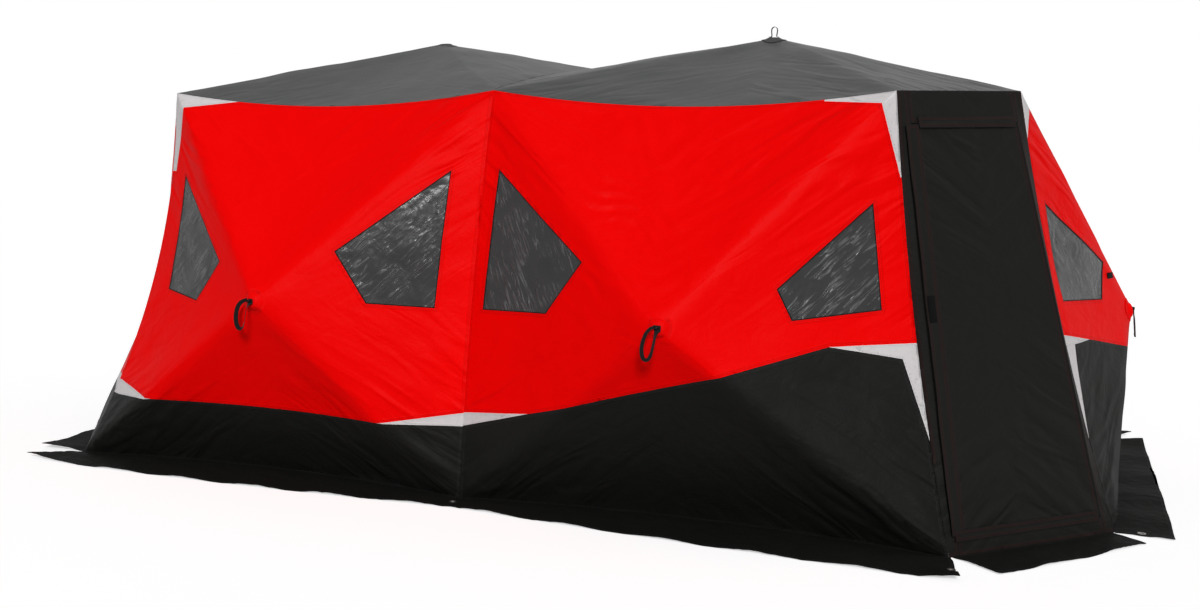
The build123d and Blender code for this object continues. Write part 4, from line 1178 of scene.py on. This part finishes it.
class SHELTER_OT_storm_flaps(bpy.types.Operator):
    """Make the storm flap over the zip, the fold under the header and the foot strip"""

    bl_idname = "shelter.storm_flaps"
    bl_label = "Storm flaps"

    def execute(self, context):
        low, high = FLAP[0] + DOOR_UP * 0.004, FLAP[3] - DOOR_UP * 0.002
        up = unit(high - low)
        door_strip("right_door_storm_flap", low, high, (DOOR_ACROSS, DOOR_UP),
                   (-cloth().storm_width, 0.026), 0.012, 0.0016, self.storm_rise,
                   (np.cross(up, DOOR_OUT), up))
        door_strip("right_door_header_fold", FLAP[3] + DOOR_ACROSS * 0.03,
                   FLAP[2] - DOOR_ACROSS * 0.012, (DOOR_UP, DOOR_ACROSS), (-0.016, 0.03), 0.01,
                   0.002, self.fold_rise, cut_width=0.05)
        door_strip("right_door_foot_strip", FLAP[0] - DOOR_ACROSS * 0.02,
                   FLAP[1] - DOOR_ACROSS * 0.012, (DOOR_UP, DOOR_ACROSS), (-0.02, 0.024), 0.012,
                   0.0016, lambda above, share: 0.0033 + 0.0008 * (1 + np.sin(share * 19 + 0.5)),
                   cut_width=0.046)
        return {"FINISHED"}

    def storm_rise(self, aside, share):
        """Sewn down along one edge and under the hook tab, and loose over the zip elsewhere."""
        base = 0.0031 + 0.0015 * smooth((0.02 + aside) / 0.03)
        loose = smooth((-aside + 0.01) / 0.04) * smooth(np.abs(share - TAB_SHARE) / 0.06)
        wave = np.sin(share * 17 + 1.3) + 0.6 * np.sin(share * 41)
        return base + loose * 0.0016 * (wave + 1.6)

    def fold_rise(self, above, share):
        """Hangs out more towards its lower edge, unevenly."""
        hang = smooth((0.008 - above) / 0.022)
        wave = 0.6 + 0.25 * np.sin(share * 9 + 0.6) + 0.15 * np.sin(share * 23)
        return 0.003 + hang * 0.005 * wave * (0.35 + 0.65 * smooth(share / 0.1))


# ------------------------------------------------------------------ blocks, zips and tabs
def add_block(mesh, centre, axes, size, aside=0.0, rounded=0.0):
    """A block set by its middle and its three ways, moved aside along the first of them."""
    turn = Matrix([Vector(axis) for axis in axes]).transposed().to_4x4()
    bmesh.ops.create_cube(mesh, size=1.0, matrix=Matrix.Translation(Vector(centre)) @ turn
                          @ Matrix.Translation((aside, 0, 0)) @ Matrix.Diagonal((*size, 1)))
    if rounded:
        bmesh.ops.bevel(mesh, geom=mesh.edges[:], offset=rounded, segments=2, profile=0.5,
                        affect="EDGES", material=-1)
    return mesh


def small_plate(centre, along, up, size, rounded):
    """A thin plate with rounded edges."""
    along, up = Vector(along), Vector(up)
    return smooth_faces(add_block(bmesh.new(), centre, (along, up, along.cross(up)), size,
                                  rounded=rounded))


class SHELTER_OT_zips(bpy.types.Operator):
    """Make the coarse zip down each door"""

    bl_idname = "shelter.zips"
    bl_label = "Door zips"

    def execute(self, context):
        low, high = (end - DOOR_ACROSS * 0.0031 - DOOR_OUT * 0.0025 for end in (FLAP[0], FLAP[3]))
        up, out = Vector(unit(high - low)), Vector(DOOR_OUT)
        axes = (up.cross(out), up, out)
        mesh = bmesh.new()
        for k in range(int(np.linalg.norm(high - low) / TOOTH_PITCH) - 1):
            add_block(mesh, Vector(low) + up * TOOTH_PITCH * (k + 1), axes,
                      (0.0028, 0.0024, 0.0034), 0.0002 * (-1) ** k)
        both_halves(mesh, "right_door_zip_teeth", [finish_of("zip_teeth")])
        mesh = add_block(bmesh.new(), Vector(low) + up * 0.03 + out * 0.004, axes,
                         (0.009, 0.016, 0.0035), rounded=0.0015)
        both_halves(mesh, "right_door_zip_slider", [finish_of("zinc")])
        return {"FINISHED"}


class SHELTER_OT_tabs(bpy.types.Operator):
    """Make the hook-and-loop tabs on the door and the end wall"""

    bl_idname = "shelter.tabs"
    bl_label = "Tabs"

    def execute(self, context):
        place = (FLAP[0] * (1 - TAB_SHARE) + FLAP[3] * TAB_SHARE - DOOR_ACROSS * 0.008
                 + DOOR_OUT * 0.0072)
        up = unit(FLAP[3] - FLAP[0])
        mesh = small_plate(place, np.cross(up, DOOR_OUT), up, (0.036, 0.105, 0.0022), 0.0009)
        both_halves(mesh, "right_door_hook_tab", [finish_of("hook_tape")], MOVING)
        start = Vector((HUB_END[0] + 0.3, HUB_END[1] - 0.15, 0.975))
        hit, normal, _, _ = tree_of("right_end_upper").ray_cast(start, Vector((-1, 0, 0)))
        normal = np.array(normal)
        along = unit(np.cross(UP, normal))
        mesh = small_plate(np.array(hit) + normal * 0.0022, along, np.cross(normal, along),
                           (0.055, 0.026, 0.0024), 0.0009)
        both_halves(mesh, "right_end_window_tab", [finish_of("hook_tape")])
        return {"FINISHED"}


# ------------------------------------------------------------------ ground skirt
def skirt_calm(points, node):
    """Still by the wall and round the eyelets."""
    wall = distances(points, neighbours_of(node), 0.09)
    pegs = distances(points, tree_of("grommets"), 0.05)
    return smooth((wall - 0.004) / 0.08) * smooth((pegs - 0.004) / 0.04)


def skirt_folds(points, node):
    """Height of the skirt above the ground: low waves, close creases and lifted corners."""
    seed, way, lifts = SKIRTS[node]
    flat = points * (1, 1, 0)
    total = 0.004 * (1 + np.sin(flat @ way * 2 * math.pi / 0.37 + seed))
    total += 0.5 * np.abs(ripples(flat, way + (0, 0.4, 0), 0.09, 0.0045, seed + 1))
    total += np.abs(swell(flat, 0.12, 0.002, seed + 2))
    for corner, height, radius in lifts:
        total += height * patch(flat, furthest(node, corner) * (1, 1, 0), radius)
    return total


class SHELTER_OT_skirts(bpy.types.Operator):
    """Make the ground skirt, creased and lifted where it isn't pegged"""

    bl_idname = "shelter.skirts"
    bl_label = "Ground skirt"

    def execute(self, context):
        for node in SKIRTS:
            mesh = node_copy(node)
            area = cloth_area(mesh)
            rims = rim_tree(mesh, UP)
            merge_flat(mesh)
            cut_grid(mesh, (ALONG, DEEP), cloth().skirt_grid)
            points = mesh_points(mesh)
            edge = distances(points, rims, EDGE_REACH)
            two_sided(mesh, UP)
            move_points(mesh, skirt_folds(points, node) * skirt_calm(points, node), UP)
            for piece in both_halves(mesh, node + "_fabric", [finish_of("skirt_fabric")] * 3,
                                     replaced=node):
                set_attribute(piece, "edge", edge)
                set_cloth_map(piece, (ALONG, DEEP))
                declare_sheet(area, 0.3, "floor")
        return {"FINISHED"}


# ------------------------------------------------------------------ hub caps and straps
def hub_axis(hub, out):
    """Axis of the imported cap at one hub, pointing outwards."""
    points = node_points("hub_caps")
    mine = points[np.linalg.norm(points - hub, axis=1) < 0.08]
    axis = np.linalg.svd(mine - mine.mean(axis=0))[2][2]
    return axis if axis @ out > 0 else -axis


def spin_cap(mesh, hub, axis, wall):
    """A disc spun about the hub's axis, lowered onto the gores outside the hub's boss."""
    tree = tree_of(wall if "roof" in wall else wall + "_upper")
    side = unit(np.cross(axis, (0.3, 0.5, 0.8)))
    spokes = [mesh.verts.new(Vector(hub + side * radius)) for radius in np.linspace(0, CAP_R, 10)]
    edges = [mesh.edges.new(pair) for pair in zip(spokes, spokes[1:])]
    bmesh.ops.spin(mesh, geom=spokes + edges, cent=Vector(hub), axis=Vector(axis),
                   angle=2 * math.pi, steps=48, use_merge=True)
    new = [v for v in mesh.verts if (v.co - Vector(hub)).length < CAP_R * 1.01 and not v.tag]
    for vertex in new:
        vertex.tag = True
        away = np.array(vertex.co) - hub
        radius = np.linalg.norm(away)
        slope = 0.0
        if radius > 0.001:
            far = max(radius, CAP_SLOPE_AT)
            start = hub + away / radius * far + axis * 0.1
            hit = tree.ray_cast(Vector(start), Vector(-axis), 0.25)[0]
            slope = ((np.array(hit) - hub) @ axis) / far if hit else 0.0
        share = float(smooth((radius - CAP_LAND) / (CAP_DRAPED - CAP_LAND)))
        vertex.co += Vector(axis * (CAP_SEAT + slope * radius * share))


class SHELTER_OT_hub_caps(bpy.types.Operator):
    """Make the sewn caps that drape over the hubs"""

    bl_idname = "shelter.hub_caps"
    bl_label = "Hub caps"

    def execute(self, context):
        mesh = bmesh.new()
        for wall, panel in PANELS.items():
            spin_cap(mesh, panel.hub, hub_axis(panel.hub, panel.out), wall)
        bmesh.ops.remove_doubles(mesh, verts=mesh.verts, dist=MERGE)
        bmesh.ops.recalc_face_normals(mesh, faces=mesh.faces)
        for face in mesh.faces:
            if face.normal.dot(face.calc_center_median() - Vector((0, 0, 0.9))) < 0:
                face.normal_flip()
        bmesh.ops.solidify(mesh, geom=mesh.faces[:], thickness=-CAP_THICK)
        area = cloth_area(mesh)
        points = mesh_points(mesh)
        edge = np.full(len(points), EDGE_REACH)
        for panel in PANELS.values():
            away = np.linalg.norm(points - panel.hub, axis=1)
            near = np.minimum(edge, np.abs(CAP_R * 1.05 - away))
            edge = np.where(away < CAP_R * 1.3, near, edge)
        for face in smooth_faces(mesh).faces:
            face.material_index = int(face.calc_center_median().z > ROOF_FROM)
        for piece in both_halves(mesh, "right_sewn_hub_caps",
                                 [finish_of("cap_fabric"), finish_of("roof_cap_fabric")],
                                 replaced="hub_caps"):
            set_attribute(piece, "edge", edge)
            set_cloth_map(piece, ((0.7, 0.7, 0), UP))
        return {"FINISHED"}


def run_along(path):
    """Distance along a path to each of its points."""
    return np.concatenate([[0], np.cumsum(np.linalg.norm(np.diff(path, axis=0), axis=1))])


def smooth_path(points, pitch):
    """A smooth line through some points, sampled evenly."""
    curve = bpy.data.curves.new("path", "CURVE")
    curve.dimensions = "3D"
    spline = curve.splines.new("NURBS")
    spline.points.add(len(points) - 1)
    for place, point in zip(spline.points, points):
        place.co = (*point, 1)
    spline.order_u = 4
    spline.use_endpoint_u = True
    spline.resolution_u = 12
    holder = bpy.data.objects.new("path", curve)
    data = bpy.data.meshes.new_from_object(holder)
    fine = np.array([v.co for v in data.vertices])
    bpy.data.objects.remove(holder)
    bpy.data.curves.remove(curve)
    bpy.data.meshes.remove(data)
    run = run_along(fine)
    places = np.linspace(0, run[-1], max(3, round(run[-1] / pitch)))
    return np.stack([np.interp(places, run, fine[:, k]) for k in range(3)], axis=1)


def ribbon(path, sides, width):
    """Webbing of even width along a path: an edge is extruded from point to point, then
    thickened.  `sides` are the way its width runs at each point."""
    mesh = bmesh.new()
    first = [mesh.verts.new(Vector(path[0] + sides[0] * width * share)) for share in (-0.5, 0.5)]
    edge = mesh.edges.new(first)
    for place, side in zip(path[1:], sides[1:]):
        made = bmesh.ops.extrude_edge_only(mesh, edges=[edge])["geom"]
        fresh = [item for item in made if isinstance(item, bmesh.types.BMVert)]
        edge = next(item for item in made if isinstance(item, bmesh.types.BMEdge)
                    and all(v in fresh for v in item.verts))
        for vertex in fresh:
            share = 0.5 if vertex.co.dot(Vector(side)) > Vector(place).dot(Vector(side)) else -0.5
            vertex.co = Vector(place + side * width * share)
    bmesh.ops.solidify(mesh, geom=mesh.faces[:], thickness=STRAP_THICK)
    bmesh.ops.recalc_face_normals(mesh, faces=mesh.faces)
    return smooth_faces(mesh)


def finish_ribbon(piece, path, sides, node):
    """A ribbon's cloth map, which runs along it and across it; the imported node is hidden."""
    points = np.array([v.co for v in piece.data.vertices])
    run = run_along(path)
    near = np.array([np.argmin(np.linalg.norm(path - p, axis=1)) for p in points])
    across = np.einsum("ij,ij->i", points - path[near], sides[near])
    set_map(piece, np.stack([run[near], across], axis=1))
    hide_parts(node)


def strap_sides(path, hub, axis, along, stand):
    """The way a strap's width runs: along the wall where it is sewn on, and turned outwards and
    up off the wall where it hangs free."""
    middle = path.mean(axis=0)
    sides = []
    for place, way in zip(path, np.gradient(path, axis=0)):
        outward = np.cross(unit(way), axis)
        outward = outward if outward @ (place - middle) > 0 else -outward
        free = float(smooth(((place - hub) @ axis - 0.006) / 0.02))
        side = outward * (1.38 - stand) + axis * stand
        side = side * free + along * (1 - free) * np.sign(side @ along + 0.001)
        side = unit(side - unit(way) * (side @ unit(way)))
        sides.append(-side if sides and side @ sides[-1] < 0 else side)
    return np.array(sides)


class SHELTER_OT_straps(bpy.types.Operator):
    """Make the pull straps on the hubs and the hanging loop on the roof"""

    bl_idname = "shelter.straps"
    bl_label = "Pull straps"

    def execute(self, context):
        for wall in WALLS:
            self.pull_strap(wall, PANELS[wall])
        self.roof_loop(HUB_ROOF)
        return {"FINISHED"}

    def pull_strap(self, wall, panel):
        hub, axis = panel.hub, hub_axis(panel.hub, panel.out)
        along = unit(np.cross(UP, axis))
        up = np.cross(axis, along)
        lean, lift, stand = (-1, 0.3, 0.1) if wall == "right_end" else (1, 1, 0.83)
        path = smooth_path([hub + (along * a * lean + up * u + axis * max(3, o * lift)) / 1000
                            for a, u, o in STRAP_LINE], 0.005)
        sides = strap_sides(path, hub, axis, along, stand)
        pieces = both_halves(ribbon(path, sides, STRAP_WIDTH), wall + "_pull_strap",
                             [finish_of("webbing")])
        for twin, piece in enumerate(pieces):
            finish_ribbon(piece, path * TURNS[twin], sides * TURNS[twin],
                          "pull_straps")
        plate = small_plate(hub + axis * 0.0048, along, up, (0.026, 0.026, 0.0016), 0.0006)
        both_halves(plate, wall + "_strap_patch", [finish_of("box_stitched")])

    def roof_loop(self, hub):
        axis = hub_axis(hub, UP)
        across = unit(np.cross((0, 1, 0), axis))
        path = smooth_path([hub + (across * a + axis * (3.2 + u)) / 1000 for a, u in LOOP_LINE],
                           0.003)
        sides = np.tile(np.cross(across, axis), (len(path), 1))
        piece = make_object(ribbon(path, sides, LOOP_WIDTH), "roof_hanging_loop",
                            [finish_of("webbing")])
        finish_ribbon(piece, path, sides, "roof_loop")


# ------------------------------------------------------------------ frame finishes
class SHELTER_OT_frame(bpy.types.Operator):
    """Give the poles, hubs and eyelets their finishes"""

    bl_idname = "shelter.frame"
    bl_label = "Poles, hubs and eyelets"

    def execute(self, context):
        for name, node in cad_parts.items():
            for word, finish in (("poles", "pole"), ("hubs", "hub_plastic"),
                                 ("grommets", "eyelet")):
                if word in name:
                    node.data.materials.clear()
                    node.data.materials.append(finish_of(finish))
        return {"FINISHED"}


# ------------------------------------------------------------------ stage
class SHELTER_OT_stage(bpy.types.Operator):
    """Make the pale floor, the soft lights and the camera"""

    bl_idname = "shelter.stage"
    bl_label = "Stage"

    def execute(self, context):
        settings = context.scene.shelter_stage
        place_camera(settings)
        soft_sun("Key light", (0.27, -0.82, 0.5), 16.0, settings.key)
        soft_sun("Fill light", (0.75, 0.25, 0.6), 50.0, settings.fill)
        light_sky(settings)
        pale_floor(settings)
        context.scene.view_settings.view_transform = "Standard"
        return {"FINISHED"}


def place_camera(settings):
    data = bpy.data.cameras.new("Camera")
    data.lens = settings.lens
    data.shift_x, data.shift_y = CAMERA_SHIFT
    camera = add_object("Camera", data)
    camera.location = CAMERA_PLACE
    camera.rotation_euler = (math.radians(CAMERA_PITCH), 0, math.radians(CAMERA_YAW))
    bpy.context.scene.camera = camera


def soft_sun(name, way, spread, strength):
    """A wide, even light that comes from one way."""
    data = bpy.data.lights.new(name, "SUN")
    data.angle = math.radians(spread)
    data.energy = strength
    add_object(name, data).rotation_euler = Vector(way).to_track_quat("Z", "Y").to_euler()


def show(nodes, end, lit, shown):
    """Ends a tree with one shader for light and another for what the camera sees directly, in
    gloss or through clear things."""
    path = nodes.node("ShaderNodeLightPath").outputs
    seen = Value(nodes, path["Is Camera Ray"]).math("MAXIMUM", path["Is Glossy Ray"])
    mix = nodes.node("ShaderNodeMixShader", {}, {
        "Fac": seen.math("MAXIMUM", path["Is Transmission Ray"]), 1: lit.outputs[0],
        2: shown.outputs[0]})
    nodes.node(end, {}, {"Surface": mix.outputs[0]})


def light_sky(settings):
    """An even sky that lights the shelter at `sky` and shows white behind it and in gloss."""
    world = bpy.data.worlds.new("Sky")
    nodes = Nodes(world)
    lit, white = (nodes.node("ShaderNodeBackground", {}, {"Color": (1, 1, 1), "Strength": strength})
                  for strength in (settings.sky, 1.0))
    show(nodes, "ShaderNodeOutputWorld", lit, white)
    bpy.context.scene.world = world


def pale_floor(settings):
    """A floor that keeps the shelter's shadow and is white elsewhere."""
    mesh = bmesh.new()
    bmesh.ops.create_grid(mesh, x_segments=8, y_segments=8, size=FLOOR_SIZE / 2)
    bmesh.ops.translate(mesh, vec=(0, 0, -0.0005), verts=mesh.verts)
    data = bpy.data.meshes.new("floor")
    mesh.to_mesh(data)
    mesh.free()
    finish = bpy.data.materials.new("pale_floor")
    nodes = Nodes(finish)
    shown, bounce = (nodes.node("ShaderNodeBsdfDiffuse", {}, {"Color": tuple(shade)})
                     for shade in (settings.floor, settings.bounce))
    glow = nodes.node("ShaderNodeEmission", {}, {"Color": (1, 1, 1), "Strength": FLOOR_GLOW})
    both = nodes.node("ShaderNodeAddShader", {}, {0: shown.outputs[0], 1: glow.outputs[0]})
    show(nodes, "ShaderNodeOutputMaterial", bounce, both)
    data.materials.append(finish)
    return add_object("floor", data)


class SHELTER_PT_pieces(bpy.types.Panel):
    """Lists the shelter's pieces and settings"""

    bl_idname = "SHELTER_PT_pieces"
    bl_label = "Fishing shelter"
    bl_space_type = "VIEW_3D"
    bl_region_type = "UI"
    bl_category = "Shelter"

    def draw(self, context):
        for operator in OPERATORS:
            self.layout.operator(operator.bl_idname)
        for group in (context.scene.shelter_cloth, context.scene.shelter_stage):
            for name in group.bl_rna.properties.keys():
                if name not in ("name", "rna_type"):
                    self.layout.prop(group, name)


OPERATORS = (SHELTER_OT_walls, SHELTER_OT_roofs, SHELTER_OT_trim, SHELTER_OT_windows,
             SHELTER_OT_doors, SHELTER_OT_storm_flaps, SHELTER_OT_zips, SHELTER_OT_skirts,
             SHELTER_OT_hub_caps, SHELTER_OT_straps, SHELTER_OT_tabs, SHELTER_OT_frame,
             SHELTER_OT_stage)
CLASSES = (ShelterCloth, ShelterStage, *OPERATORS, SHELTER_PT_pieces)


def register():
    for each in CLASSES:
        bpy.utils.register_class(each)
    bpy.types.Scene.shelter_cloth = PointerProperty(type=ShelterCloth)
    bpy.types.Scene.shelter_stage = PointerProperty(type=ShelterStage)


def unregister():
    del bpy.types.Scene.shelter_stage
    del bpy.types.Scene.shelter_cloth
    for each in reversed(CLASSES):
        bpy.utils.unregister_class(each)


def main():
    register()
    for operator in OPERATORS:
        group, name = operator.bl_idname.split(".")
        getattr(getattr(bpy.ops, group), name)()


if __name__ == "__main__":
    main()
